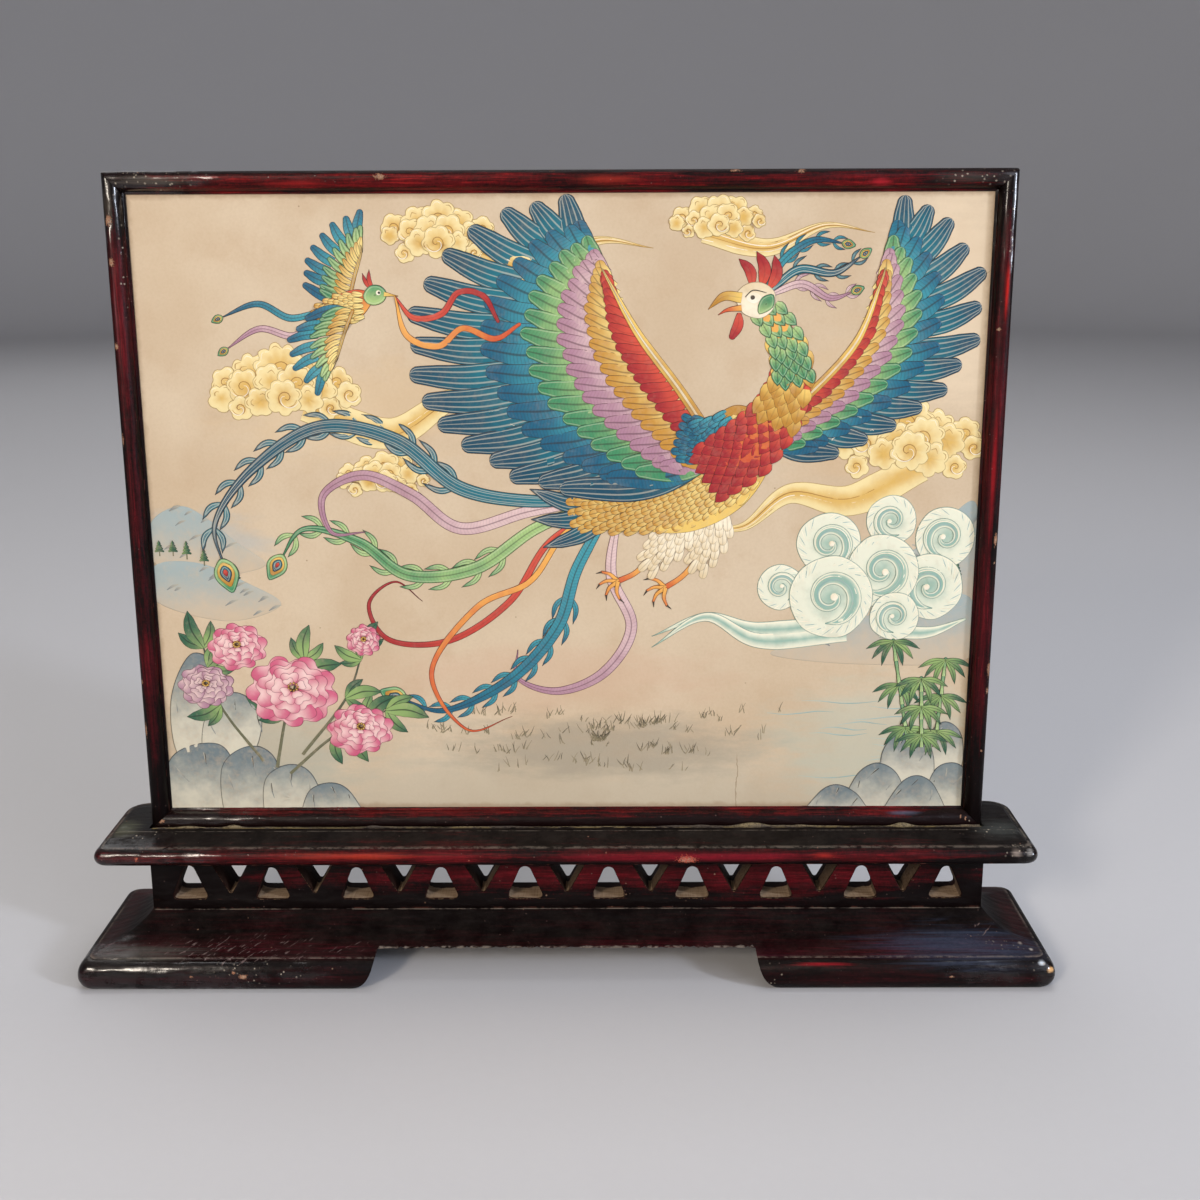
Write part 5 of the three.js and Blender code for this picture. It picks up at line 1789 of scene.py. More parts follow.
@dataclass(frozen=True)
class Plume:
    """A long tail feather, with flame-shaped barbs along it and an eye at its end if it has one."""

    path: tuple[complex, ...]
    tint: Tint
    width: float
    barbs: int = 0
    eye: float = 0.0

    def carve(self, carver: Carver) -> None:
        """Carves the barbs, the shaft and the eye."""
        line = smooth_line(self.path, 1.0)
        for i in range(self.barbs):
            share = 0.3 + 0.62 * i / max(self.barbs - 1, 1)
            j = int(share * (len(line) - 2))
            way = line[j + 1] - line[j]
            for side in (1, -1):
                root = line[j]
                out = way * direction(38 * side)
                length = self.width * (1.5 - 0.5 * share)
                tip = root + (out + way * 0.9) * length
                carver.leaf(self.tint, root, tip, self.width * 0.5, 0.16 * side, 0.24, 0.3)
        taper = (0.5, 0.9, 1.0, 1.0, 0.95, 0.8, 0.5, 0.12)
        carver.stroke(self.tint, self.path, [self.width * w for w in taper], 0.34)
        if self.eye:
            end, way = line[-1], (line[-1] - line[-6]) / abs(line[-1] - line[-6])
            shape = (-0.7 + 0j, -0.3 + 0.5j, 0.25 + 0.62j, 0.8 + 0.34j, 1.15 + 0j, 0.8 - 0.34j, 0.25 - 0.62j, -0.3 - 0.5j)
            for share, tint in ((1.0, GREEN), (0.72, GOLD), (0.5, TEAL), (0.24, RED)):
                carver.patch(tint, placed(shape, end + way * self.eye * 0.12, way * self.eye * share), 0.2, 0.6, 0.3,
                             root=end)


@dataclass(frozen=True)
class Wing:
    """A spread wing: rows of feathers fanned from its arm, the longest first."""

    arm: tuple[complex, ...]
    tips: tuple[complex, ...]
    count: int
    width: float
    bend: float = 0.1
    rows: tuple[tuple[Tint, float, float], ...] = (
        (TEAL, 1.0, 1.0), (AZURE, 0.7, 0.86), (GREEN, 0.52, 0.8), (MAUVE, 0.37, 0.72), (SCALE, 0.24, 0.62), (RED, 0.13, 0.5),
    )

    def carve(self, carver: Carver) -> None:
        """Carves the rows, then the arm's edge."""
        reaches = [row[1] for row in self.rows] + [TUCK]
        for number, (tint, reach, breadth) in enumerate(self.rows):
            count = self.count + number
            tucked = max(reaches[number + 1] - TUCK, 0.0)
            offset = 0.5 * (number % 2)
            for i in range(count + number % 2):
                share = min(max((i - offset) / (count - 1), 0.0), 1.0)
                joint, end = at_share(self.arm, share), at_share(self.tips, share)
                hidden = tucked if 0 < share < 1 else 0.0
                root, tip = lerp(joint, end, hidden), lerp(joint, end, reach * (1 + carver.vary(0.02)))
                profile = QUILL[3:] if hidden else QUILL
                carver.leaf(tint, root, tip, self.width * breadth, self.bend * (1 - hidden), 0.28,
                            0.3 + 0.5 * share, profile)
        edge = (lerp(self.arm[0], self.tips[0], 0.2), *self.arm)
        carver.stroke(GOLD, edge, [self.width * w for w in (0.08, 0.24, 0.34, 0.36, 0.38, 0.4)], 0.4)
        carver.stroke(CREAM, edge, [self.width * w for w in (0.03, 0.07, 0.1, 0.12, 0.12, 0.12)], 0.3)


def shingle(carver: Carver, tint: Tint, axis: Sequence[complex], halves: Sequence[float], size: float, gap: float,
            rise: float = 0.2, profile: Sequence[float] = TILE) -> None:
    """Carves rows of small feathers that overlap like roof tiles.

    Args:
        carver: what carves them.
        tint: their colour.
        axis: the line that the rows cross, from the row on top to the lowest row.
        halves: half the rows' widths along the axis.
        size: a feather's length.
        gap: the distance between rows.
        rise: how far each stands over what it lies on.
        profile: its widths along it, as shares of its length.
    """
    line = smooth_line(axis, gap)
    for j in range(len(line) - 1, -1, -1):
        share = j / (len(line) - 1)
        way = line[min(j + 1, len(line) - 1)] - line[max(j - 1, 0)]
        way /= abs(way)
        half = at_share(halves, share)
        count = max(2, round(2 * half / (size * 0.62)))
        for i in range(count):
            offset = ((i + 0.5 * (j % 2)) / (count - 0.5) * 2 - 1) * half
            root = line[j] + 1j * way * offset
            spread = way * direction(-12 * offset / max(half, 1e-6) * -1)
            carver.stroke(tint, [root, root + spread * size * 0.5, root + spread * size],
                          [size * w for w in profile], rise, 0.3 + 0.5 * share, size * 0.26, LEAN)


@dataclass(frozen=True)
class GreatBird:
    """A plumed bird in flight that looks back over its long tail."""

    neck: tuple[complex, ...] = (57 + 60j, 63 + 52j, 66 + 41j, 62 + 30j, 54 + 20j, 44 + 13j)
    body: tuple[complex, ...] = (57 + 26j, 46 + 15j, 32 + 8j, 18 + 4j, 6 + 2j)
    head: complex = 55 + 61j

    def carve(self, carver: Carver) -> None:
        """Carves the bird from its far wing to its crest."""
        Wing((90 + 66j, 84 + 50j, 72 + 36j, 58 + 24j),
             (96 + 88j, 108 + 82j, 117 + 68j, 117 + 50j, 108 + 36j, 94 + 26j, 78 + 18j), 13, 7.0, -0.1).carve(carver)
        self._tail(carver)
        self._legs(carver)
        outline = [60 + 26j, 60 + 14j, 52 + 2j, 38 - 5j, 24 - 5j, 12 - 2j, 5 + 2j, 10 + 9j, 24 + 16j, 38 + 24j, 50 + 32j]
        carver.patch(GOLD, outline, 0.5, 0.4, 0.8)
        shingle(carver, SCALE, self.body, [6.0, 11.5, 11.0, 8.5, 5.0], 3.6, 2.1)
        Wing((14 + 66j, 22 + 52j, 34 + 36j, 46 + 18j),
             (2 + 88j, -16 + 85j, -33 + 72j, -42 + 54j, -40 + 36j, -29 + 22j, -13 + 12j, 2 + 8j), 16, 8.0, 0.1).carve(carver)
        shingle(carver, AZURE, (50 + 27j, 43 + 21j, 37 + 22j), [4.0, 7.0, 5.0], 3.4, 1.9)
        self._neck(carver)
        self._head(carver)

    def _tail(self, carver: Carver) -> None:
        """Carves the long plumes, the farthest first."""
        plumes = (
            Plume((16 + 0j, 14 - 18j, 20 - 34j, 12 - 48j, -2 - 54j, -14 - 50j, -14 - 41j), MAUVE, 3.6),
            Plume((14 + 2j, 4 - 16j, -2 - 34j, -16 - 50j, -36 - 60j, -50 - 56j), AZURE, 3.8, 9, 5.0),
            Plume((14 + 3j, -4 - 8j, -16 - 26j, -34 - 38j, -52 - 38j, -58 - 27j, -50 - 20j, -42 - 26j), RED, 2.2),
            Plume((12 + 4j, -8 - 4j, -26 - 16j, -46 - 18j, -60 - 8j, -76 - 4j, -84 - 14j), GREEN, 4.0, 9, 5.0),
            Plume((12 + 5j, -10 + 1j, -30 - 4j, -44 + 6j, -58 + 12j, -70 + 6j, -68 - 5j, -58 - 5j), MAUVE, 3.8),
            Plume((12 + 6j, -8 + 4j, -30 + 8j, -48 + 22j, -70 + 26j, -90 + 14j, -102 - 2j, -100 - 16j), TEAL, 4.4, 12, 6.0),
            Plume((13 + 3j, 0 - 6j, -10 - 20j, -26 - 28j, -40 - 48j, -30 - 66j, -16 - 62j), ORANGE, 2.0),
        )
        for plume in plumes:
            plume.carve(carver)
        for spread in (-34, -14, 6, 26):
            root = 16 + 4j
            carver.leaf(TEAL, root, root + direction(186 + spread, 26), 6.0, 0.1, 0.3, 0.6)

    @staticmethod
    def _legs(carver: Carver) -> None:
        """Carves two drawn-up legs with their claws."""
        for hip, knee, foot in ((44 + 0j, 40 - 14j, 30 - 22j), (34 - 2j, 26 - 14j, 16 - 20j)):
            carver.stroke(ORANGE, [knee + 1j, lerp(knee, foot, 0.5) - 0.6j, foot], [2.2, 1.7, 1.9], 0.4)
            for degrees in (150, 190, 230, 275):
                toe = foot + direction(degrees, 5.5)
                carver.stroke(ORANGE, [foot, foot + direction(degrees - 12, 3.2), toe], [1.5, 1.3, 0.9], 0.34)
                carver.stroke(INK, [toe, toe + direction(degrees + 45, 1.8)], [0.8, 0.2], 0.3)
            axis = (hip, lerp(hip, knee, 0.5) + 1, knee)
            carver.stroke(CREAM, axis, [10.0, 8.0, 4.0], 0.4)
            shingle(carver, CREAM, axis, [5.0, 4.0, 2.0], 3.4, 2.2)

    def _neck(self, carver: Carver) -> None:
        """Carves the neck and its pointed hackles."""
        carver.stroke(ORANGE, self.neck, [6.0, 6.6, 8.0, 10.0, 11.0, 3.0], 0.5)
        upper = self.neck[:3]
        lower = self.neck[2:]
        shingle(carver, RED, lower, [4.2, 6.0, 7.6, 7.0], 5.0, 2.2, 0.2, HACKLE)
        shingle(carver, GOLD, (upper[1], upper[2], self.neck[3]), [3.4, 4.2, 5.4], 5.6, 2.2, 0.22, HACKLE)
        shingle(carver, GREEN, upper, [3.0, 3.4, 4.2], 4.6, 1.9, 0.22, HACKLE)

    def _head(self, carver: Carver) -> None:
        """Carves the crest, the head, the beak and the eye."""
        head = self.head
        for tint, path, width in (
            (TEAL, (4 + 3j, 12 + 9j, 22 + 8j, 30 + 13j), 2.6), (MAUVE, (4 + 2j, 13 + 5j, 21 + 1j, 28 + 3j), 2.4),
            (AZURE, (3 + 4j, 8 + 12j, 16 + 17j, 25 + 16j), 2.4),
        ):
            Plume(tuple(head + p for p in path), tint, width, 4, 2.4).carve(carver)
        for root, tip, width in ((-1 + 4j, -5 + 12j, 3.4), (1.5 + 4j, 0 + 14j, 3.8), (3.5 + 3.5j, 5 + 13j, 3.6)):
            carver.leaf(RED, head + root, head + tip, width, -0.16, 0.34, 0.6)
        outline = [-5.5 + 2.5j, -2.5 + 5.2j, 2 + 5.4j, 5.5 + 2.5j, 5 - 2j, 1.5 - 4.6j, -3 - 3.6j, -5.2 - 0.8j]
        carver.patch(CREAM, [head + p for p in outline], 0.5, 0.3, 0.7)
        carver.patch(GREEN, [head + p for p in (1 - 3.5j, 5 - 1.5j, 5 + 2.2j, 2 + 1.6j, 0.6 - 0.8j)], 0.2, 0.6)
        carver.stroke(GOLD, [head - 4 + 1.2j, head - 9 + 1.6j, head - 13.4 - 2j], [3.2, 2.6, 0.3], 0.5, 0.7)
        carver.stroke(ORANGE, [head - 4 - 1.6j, head - 8 - 2.2j, head - 10.6 - 3.6j], [2.0, 1.4, 0.3], 0.4, 0.7)
        carver.leaf(RED, head - 4.6 - 3j, head - 6.4 - 9.5j, 3.2, 0.1, 0.4, 0.6, QUILL)
        carver.patch(PALE, [head - 0.6 + 1.2j + 1.7 * direction(60 * i) * (1 if i % 3 else 1.35) for i in range(6)], 0.2)
        carver.dot(INK, head - 0.9 + 1.3j, 0.75, 0.2)
        carver.stroke(INK, [head - 3 + 1.4j, head - 0.8 + 3.3j, head + 3 + 2.6j], [0.3, 0.55, 0.2], 0.2)


@dataclass(frozen=True)
class SmallBird:
    """A small bird that carries a ribbon in its beak."""

    at: complex = -62 + 60j

    def carve(self, carver: Carver) -> None:
        """Carves the streamers, the body, the wings and the ribbon."""
        at = self.at
        for tint, path in (
            (MAUVE, (-6 - 2j, -14 - 8j, -24 - 6j, -34 - 12j)), (AZURE, (-6 - 1j, -15 - 3j, -24 + 1j, -35 - 3j)),
        ):
            Plume(tuple(at + p for p in path), tint, 2.2, 0, 2.2).carve(carver)
        Wing(tuple(at + p for p in (6 + 15j, 4 + 9j, 2 + 2j)),
             tuple(at + p for p in (6 + 26j, -3 + 22j, -9 + 14j, -10 + 6j)), 8, 3.2, 0.1,
             ((AZURE, 1.0, 1.0), (GREEN, 0.62, 0.8), (SCALE, 0.34, 0.6))).carve(carver)
        carver.patch(ORANGE, [at + p for p in (9 + 3j, 4 + 5j, -3 + 2.6j, -8 - 1.6j, -2 - 3.6j, 5 - 3j)], 0.4, 0.4, 0.6)
        shingle(carver, SCALE, (at + 6, at - 0.4j, at - 6 - 1.6j), [3.4, 3.2, 1.4], 2.2, 1.4, 0.2)
        for tip in (6 + 9.5j, 8 + 10.5j):
            carver.leaf(RED, at + 9 + 4.6j, at + tip, 1.5, 0.1, 0.3)
        carver.patch(GREEN, [at + p for p in (6 + 3.4j, 8 + 6j, 11 + 6j, 12.8 + 4j, 12 + 1.6j, 9.5 + 0.4j, 7 + 1j)], 0.4, 0.4, 0.7)
        carver.stroke(GOLD, [at + 12 + 3.6j, at + 16 + 3j], [1.5, 0.3], 0.3)
        carver.dot(PALE, at + 10.4 + 4j, 0.8, 0.16)
        carver.dot(INK, at + 10.6 + 4j, 0.42, 0.16)
        for tint, path in (
            (RED, (15 + 3j, 20 - 3j, 28 - 2j, 33 + 4j, 40 + 3j, 44 - 4j)),
            (ORANGE, (15 + 3j, 18 - 8j, 27 - 11j, 34 - 6j, 43 - 9j, 50 - 5j)),
        ):
            carver.stroke(tint, [at + p for p in path], [0.6, 1.9, 2.1, 1.9, 2.0, 1.2], 0.3)
        Wing(tuple(at + p for p in (-2 - 14j, 0 - 8j, 3 - 1j)),
             tuple(at + p for p in (-8 - 24j, -14 - 17j, -15 - 9j, -10 - 3j)), 7, 3.0, -0.1,
             ((AZURE, 1.0, 1.0), (GREEN, 0.62, 0.8), (SCALE, 0.34, 0.6))).carve(carver)


WASHES = (
    Wash(0 - 92j, 150 + 34j, 0xB4AE9A, 0.5), Wash(96 - 70j, 44 + 26j, 0xB4C0B0, 0.45),
    Wash(12 - 72j, 62 + 13j, 0x8D8575, 0.5), Wash(-6 - 50j, 70 + 14j, 0xC79C80, 0.28),
    Wash(104 - 26j, 34 + 18j, 0x99A5A6, 0.5), Wash(-108 - 8j, 26 + 12j, 0x9DB0B8, 0.45),
    Wash(-92 - 74j, 40 + 22j, 0x9AA498, 0.45), Wash(84 + 30j, 30 + 30j, 0xD2B184, 0.25),
    # The pale wash at the upper right is a painted pool of light that lightens that side of the slab.
    Wash(-60 + 30j, 50 + 18j, 0xD6B88A, 0.3), Wash(112 + 62j, 26 + 44j, 0xE0CCAE, 0.6),
)


@dataclass
class Plaque:
    """The stone slab and the garden that is carved on it: a plumed bird, flowers, clouds and a pond."""

    def __post_init__(self) -> None:
        """Reads the slab's face and the frame's middle."""
        slab_low, slab_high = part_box("stone_plaque")
        self.middle = (slab_low.z + slab_high.z) / 2 / MM
        self.carver = Carver(slab_low.y / MM, self.middle)

    def hills(self) -> None:
        """Far hills at both sides, with dabs of ink for their slopes and a few pines."""
        carver = self.carver
        for outline in (
            (-121 - 14j, -121 - 2j, -112 + 3j, -104 - 1j, -96 - 8j, -88 - 15j, -104 - 18j),
            (-121 - 26j, -121 - 15j, -108 - 14j, -94 - 20j, -84 - 27j, -100 - 32j),
            (121 - 34j, 121 + 2j, 112 - 2j, 104 - 10j, 96 - 14j, 84 - 24j, 78 - 33j, 98 - 36j),
            (121 - 44j, 121 - 26j, 106 - 24j, 92 - 30j, 72 - 38j, 62 - 43j, 90 - 46j),
        ):
            carver.patch(HILL, outline, 0.12, 0.6, 0.2)
            low = min(p.imag for p in outline)
            for i in range(14):
                spot = lerp(carver.draw.choice(outline[1:5]), carver.draw.choice(outline[2:]), 0.3 + carver.draw.random() * 0.5)
                if abs(spot.real) < 119 and spot.imag > low + 3:
                    run = direction(-25 if spot.real > 0 else 205, 2.4 + 2 * carver.draw.random())
                    carver.stroke(GREY, [spot, spot + run * 0.5 + 0.3j, spot + run], [0.4, 1.1, 0.3], 0.08)
        for foot in (-119 - 12j, -115 - 12j, -111 - 13j, -106 - 15j, -101 - 18j, -97 - 20j, 112 - 20j, 116 - 20j, 108 - 23j):
            height = 3.2 + carver.draw.random() * 1.6
            carver.stroke(GRASS, [foot, foot + 1j * height], [0.6, 0.4], 0.16)
            for share in (0.35, 0.55, 0.75, 0.95):
                spot = foot + 1j * height * share
                half = 1.7 * (1.15 - share)
                carver.stroke(LEAF, [spot - half, spot + 0.5j, spot + half], [0.6, 1.3, 0.6], 0.2, 0.8)

    def clouds(self) -> None:
        """Yellow cloud banks, and curls of mist at the lower right."""
        for cloud in (
            ScrollCloud(-34 + 78j, 8.0, -1.0, (-24 + 76j, -6 + 70j, 10 + 78j, 26 + 76j)),
            ScrollCloud(44 + 82j, 6.5, 1.0, (40 + 80j, 58 + 76j, 74 + 82j, 88 + 80j)),
            ScrollCloud(-80 + 34j, 10.5, 1.0, (-74 + 32j, -50 + 24j, -30 + 34j, -10 + 26j, 10 + 30j)),
            ScrollCloud(-52 + 10j, 6.5, -1.0),
            ScrollCloud(100 + 18j, 11.0, -1.0, (104 + 14j, 84 + 4j, 66 + 6j, 52 - 4j, 36 - 2j)),
        ):
            cloud.carve(self.carver)

    def mist(self) -> None:
        """Curls of mist under the bird's breast."""
        for offset in (0, 3.4j):
            self.carver.stroke(CELADON, [84 - 33j - offset, 58 - 35j - offset, 42 - 31j, 26 - 37j - offset],
                               [5.0, 5.5, 3.2, 0.3], 0.26, 0.3)
        self.carver.stroke(CELADON, [94 - 35j, 108 - 36j, 119 - 32j], [5.0, 4.0, 1.0], 0.26, 0.3)
        for curl in (
            WaveCurl(96 - 2j, 7.5, 90, -1.0), WaveCurl(112 - 7j, 9.0, 60, -1.0), WaveCurl(78 - 9j, 9.5, 120),
            WaveCurl(64 - 22j, 7.0, 150), WaveCurl(108 - 22j, 10.0, 70, -1.0), WaveCurl(94 - 17j, 11.0, 80),
            WaveCurl(79 - 25j, 12.5, 110), WaveCurl(98 - 31j, 7.5, 60, -1.0),
        ):
            curl.carve(self.carver)

    def flowers(self) -> None:
        """A garden stone with peonies at the lower left."""
        carver = self.carver
        GardenRock((
            (-118 - 74j, -119 - 56j, -112 - 42j, -104 - 46j, -103 - 58j, -108 - 72j),
            (-110 - 76j, -109 - 62j, -100 - 54j, -92 - 60j, -94 - 72j, -102 - 78j),
            (-124 - 96j, -121 - 76j, -110 - 70j, -102 - 74j, -100 - 95j, -110 - 97j),
            (-104 - 96j, -105 - 78j, -96 - 71j, -88 - 76j, -86 - 95j, -94 - 97j),
            (-92 - 96j, -92 - 82j, -84 - 77j, -77 - 81j, -74 - 95j, -84 - 97j),
            (-81 - 96j, -79 - 86j, -72 - 83j, -66 - 86j, -62 - 96j, -72 - 98j),
        )).carve(carver)
        for spray in (
            LeafSpray((-88 - 78j, -84 - 60j, -78 - 44j), ((-84 - 60j, 160, 13), (-80 - 50j, 20, 14), (-78 - 44j, 80, 11))),
            LeafSpray((-84 - 80j, -70 - 68j, -54 - 60j), ((-70 - 68j, -40, 13), (-60 - 63j, 40, 12), (-54 - 60j, -10, 13))),
            LeafSpray((-92 - 76j, -104 - 58j, -108 - 40j), ((-104 - 58j, 200, 11), (-107 - 46j, 30, 11), (-108 - 40j, 110, 12))),
            LeafSpray((-80 - 74j, -66 - 56j, -60 - 40j), ((-66 - 56j, 10, 11), (-61 - 44j, 150, 9), (-60 - 40j, 60, 9))),
        ):
            spray.carve(carver)
        for flower in (
            Peony(-108 - 52j, 8.0, MAUVE), Peony(-62 - 66j, 9.5), Peony(-98 - 40j, 8.5), Peony(-82 - 54j, 13.0),
            Peony(-60 - 38j, 5.0, PINK, 0.95),
        ):
            flower.carve(carver)

    def meadow(self) -> None:
        """Sedge in thin tufts along the ground in the middle."""
        draw = self.carver.draw
        for low, left, right, tufts in ((-63, -34, 72, 26), (-67, -50, 66, 30), (-72, -42, 56, 26), (-78, -30, 40, 16)):
            for _ in range(tufts):
                share = 0.5 + self.carver.vary(0.3) + self.carver.vary(0.2)
                root = complex(lerp(left, right, share), low + 1.8 * math.sin(share * 9 + low) + self.carver.vary(1.2))
                for _ in range(draw.randrange(2, 6)):
                    foot = root + self.carver.vary(1.6) + 0.3j * self.carver.vary(1.0)
                    tip = foot + direction(86 + self.carver.vary(44), 1.4 + 2.2 * draw.random())
                    middle = lerp(foot, tip, 0.6) + self.carver.vary(0.25)
                    self.carver.stroke(SEDGE, [foot, middle, tip], [0.42, 0.34, 0.1], 0.12, draw.random(), 1.2)

    def pond(self) -> None:
        """Water, stones and bamboo at the lower right."""
        carver = self.carver
        for i in range(16):
            start = complex(56 + carver.draw.random() * 40, -56 - i * 1.7)
            length = 10 + 16 * carver.draw.random()
            points = [start + length * t + 0.5j * math.sin(6 * t + i) for t in (0, 0.25, 0.5, 0.75, 1)]
            carver.stroke(WATER, points, [0.15, 0.5, 0.5, 0.15], 0.08, 0.5, 1.4)
        GardenRock((
            (110 - 82j, 108 - 72j, 114 - 64j, 120 - 68j, 120 - 80j), (98 - 84j, 96 - 74j, 102 - 67j, 111 - 72j, 111 - 84j),
            (110 - 97j, 111 - 82j, 116 - 77j, 122 - 80j, 124 - 96j), (85 - 96j, 88 - 82j, 95 - 77j, 102 - 82j, 104 - 96j),
            (97 - 97j, 101 - 85j, 107 - 81j, 113 - 85j, 116 - 97j), (73 - 96j, 77 - 87j, 83 - 84j, 90 - 88j, 92 - 96j),
        ), -110.0).carve(carver)
        for foot, head in ((104 - 72j, 98 - 38j), (112 - 72j, 114 - 44j), (108 - 72j, 107 - 50j)):
            for i in range(5):
                low, high = lerp(foot, head, i / 5), lerp(foot, head, (i + 0.93) / 5)
                carver.stroke(GREEN, [low, lerp(low, high, 0.5), high], [1.5, 1.15, 1.4], 0.34, 0.6)
                for side in (-1, 1):
                    if (i + side) % 2 or i > 3:
                        for spread in (-30, -5, 20):
                            degrees = -90 + side * (52 + spread)
                            carver.leaf(LEAF, high, high + direction(degrees, 8.5), 1.9, 0.08 * side, 0.26,
                                        0.5 + carver.vary(0.4))

    def dress(self) -> None:
        """Carves the whole garden from back to front and tints it."""
        slab = frame["nodes"]["stone_plaque"]
        Bench.dress(slab, CreamStone("cream_stone", self.middle, WASHES).make(), "stone")
        self.hills()
        self.clouds()
        self.meadow()
        self.mist()
        GreatBird().carve(self.carver)
        SmallBird().carve(self.carver)
        self.flowers()
        self.pond()
        for carving in self.carver.carvings.values():
            carving.make()
        LOG.info("highest carving: %.2f mm", max(-p[1] / MM for c in self.carver.carvings.values() for p in c.points)
                 + self.carver.face)


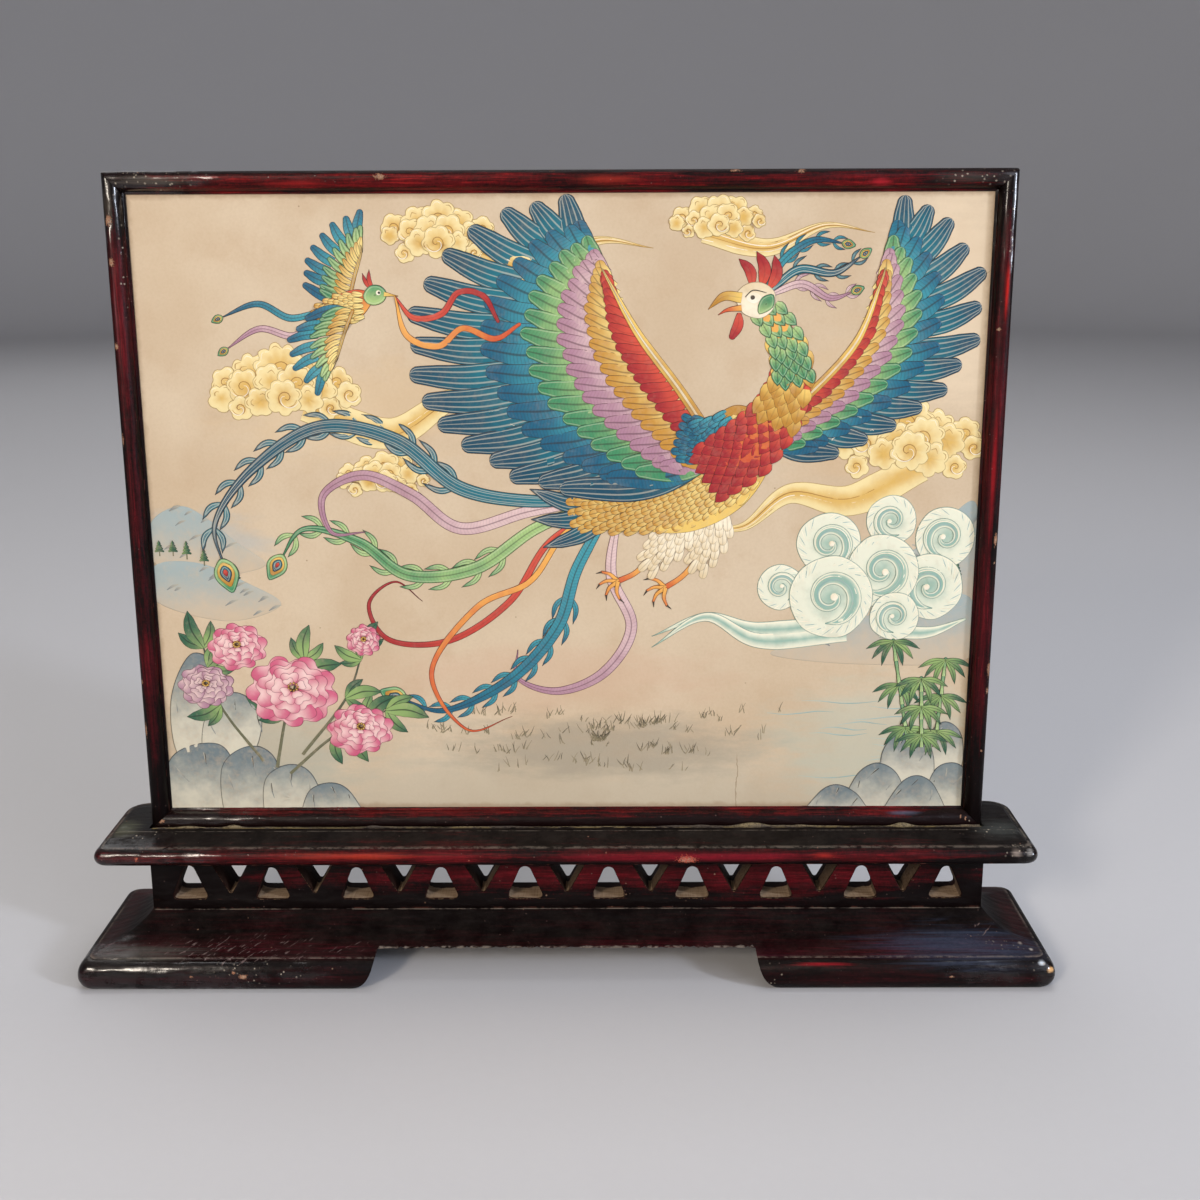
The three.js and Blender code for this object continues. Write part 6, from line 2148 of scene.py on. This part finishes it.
@dataclass(frozen=True)
class Studio:
    """Floor, lamps and camera. The camera stands where the photograph was taken from."""

    camera_place: Place = (12.44, -449.87, 228.2)
    pitch: float = 14.23
    yaw: float = -0.23
    roll: float = -0.23
    lens: float = 46.55
    sensor: float = 36.0
    floor_shade: int = 0xC6C6C8
    floor_radius: float = 2600.0
    wall_height: float = 1500.0

    def add_camera(self) -> None:
        """Places the camera by its own three directions."""
        pitch, yaw, roll = (math.radians(a) for a in (self.pitch, self.yaw, self.roll))
        ahead = Vector((math.sin(yaw) * math.cos(pitch), math.cos(yaw) * math.cos(pitch), -math.sin(pitch)))
        level = Vector((math.cos(yaw), -math.sin(yaw), 0.0))
        over = level.cross(ahead)
        right = level * math.cos(roll) + over * math.sin(roll)
        up = over * math.cos(roll) - level * math.sin(roll)
        data = bpy.data.cameras.new("camera")
        data.lens = self.lens
        data.sensor_width = self.sensor
        data.clip_start = 0.01
        camera = bpy.data.objects.new("camera", data)
        bpy.context.scene.collection.objects.link(camera)
        turn = Matrix((right, up, -ahead)).transposed().to_4x4()
        camera.matrix_world = Matrix.Translation(Vector(self.camera_place) * MM) @ turn
        bpy.context.scene.camera = camera

    def add_floor(self) -> None:
        """A round floor that turns up into a pale wall all round."""
        Bench.free()
        bpy.ops.mesh.primitive_circle_add(vertices=96, radius=self.floor_radius * MM, fill_type="NGON")
        floor = bpy.context.active_object
        floor.name = "studio_floor"
        Bench.edit(floor, "FACE")
        bpy.ops.mesh.select_all(action="SELECT")
        steps = 10
        bend = 500.0
        grown = self.floor_radius
        Bench.done()
        Bench.edit(floor, "EDGE")
        bpy.ops.mesh.select_all(action="SELECT")
        for i in range(1, steps + 1):
            turn = i / steps * math.pi / 2
            radius = self.floor_radius + bend * math.sin(turn)
            rise = bend * (math.cos((i - 1) / steps * math.pi / 2) - math.cos(turn))
            bpy.ops.mesh.extrude_region_move(TRANSFORM_OT_translate={"value": (0.0, 0.0, rise * MM)})
            bpy.ops.transform.resize(value=(radius / grown, radius / grown, 1.0), center_override=(0.0, 0.0, 0.0))
            grown = radius
        bpy.ops.mesh.extrude_region_move(TRANSFORM_OT_translate={"value": (0.0, 0.0, self.wall_height * MM)})
        Bench.done()
        Bench.smooth(floor, 60.0)
        tree = FinishTree("studio_paper")
        fleck = tree.noise(3.0, 2.0, 0.5)
        floor.data.materials.append(tree.close(tree.mix(fleck * 0.15, self.floor_shade, 0xB8B8BC), 0.9))

    @staticmethod
    def add_lamp(name: str, place: Place, aim: Place, size: Point, power: float, shade: int) -> None:
        """A soft rectangular lamp that looks at a point."""
        data = bpy.data.lights.new(name, "AREA")
        data.shape = "RECTANGLE"
        data.size, data.size_y = size[0] * MM, size[1] * MM
        data.energy = power
        data.color = linear(shade)[:3]
        lamp = bpy.data.objects.new(name, data)
        bpy.context.scene.collection.objects.link(lamp)
        start = Vector(place) * MM
        lamp.location = start
        lamp.rotation_euler = (Vector(aim) * MM - start).to_track_quat("-Z", "Y").to_euler()

    def light(self) -> None:
        """Three broad lamps, two small ones whose glints show on polished lacquer, and a dim, even world."""
        target = (0.0, 0.0, 120.0)
        self.add_lamp("key_lamp", (-720.0, -1450.0, 900.0), target, (1400.0, 1400.0), 5.0, 0xFFF3E4)
        self.add_lamp("fill_lamp", (1250.0, -1150.0, 900.0), target, (1400.0, 1400.0), 11.0, 0xEEF2FF)
        self.add_lamp("top_lamp", (0.0, 200.0, 1400.0), target, (900.0, 600.0), 6.0, 0xFFFFFF)
        self.add_lamp("left_glint", (-700.0, -1400.0, 760.0), target, (200.0, 340.0), 13.0, 0xFFF3E4)
        self.add_lamp("right_glint", (1300.0, -900.0, 640.0), target, (140.0, 220.0), 12.0, 0xE6EEFF)
        self.add_lamp("rear_lamp", (-500.0, 1600.0, 1300.0), target, (1400.0, 1400.0), 5.0, 0xFFFFFF)
        world = bpy.data.worlds.new("studio")
        world.use_nodes = True
        world.node_tree.nodes["Background"].inputs["Color"].default_value = (1.0, 0.96, 0.92, 1.0)
        world.node_tree.nodes["Background"].inputs["Strength"].default_value = 0.22
        bpy.context.scene.world = world

    def set_up(self) -> None:
        """Makes the studio."""
        bpy.context.scene.view_settings.view_transform = "Standard"
        self.add_camera()
        self.add_floor()
        self.light()


def dress_small_pieces() -> None:
    """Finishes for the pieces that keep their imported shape."""
    steel_tree = FinishTree("dull_steel")
    rust = steel_tree.noise(0.9, 3.0, 0.6)
    steel = steel_tree.close(steel_tree.mix(rust.between(0.5, 0.7), 0x8A8884, 0x5A3A26),
                             0.35 + rust * 0.3, metallic=1 - rust.between(0.55, 0.7))
    card_tree = FinishTree("grey_card")
    fibre = card_tree.noise(1.4, 4.0, 0.7)
    card = card_tree.close(card_tree.mix(fibre, 0x8F7F68, 0x6F604C), 0.95, card_tree.bump(fibre, 0.08))
    board_tree = FinishTree("stained_board")
    grain = board_tree.noise((46.0, 1.2, 1.4), 4.0, 0.6)
    blot = board_tree.noise(28.0, 3.0, 0.6)
    colour = board_tree.mix((grain * 0.7 + blot * 0.5).between(0.4, 0.8), 0x4A2A1C, 0x2C1810)
    board = board_tree.close(colour, 0.62 + grain * 0.15, board_tree.bump(grain, 0.12))
    key = Lacquer("key_lacquer", Axis.X).make()
    for name, node in sorted(frame["nodes"].items()):
        if name.startswith(("brad_", "base_screw")):
            Bench.dress(node, steel, "steel")
        elif name.startswith("corner_key"):
            Bench.dress(node, key, "bamboo")
        elif name == "backing_card":
            Bench.dress(node, card, "card")
        elif name == "back_board":
            Bench.dress(node, board, "back_board")


def main() -> None:
    """Builds the studio, the stand, the frame and the plaque."""
    logging.basicConfig(level=logging.INFO, format="%(name)s: %(message)s")
    Studio().set_up()
    Stand().dress()
    PictureFrame().dress()
    Plaque().dress()
    dress_small_pieces()


if __name__ == "__main__":
    main()
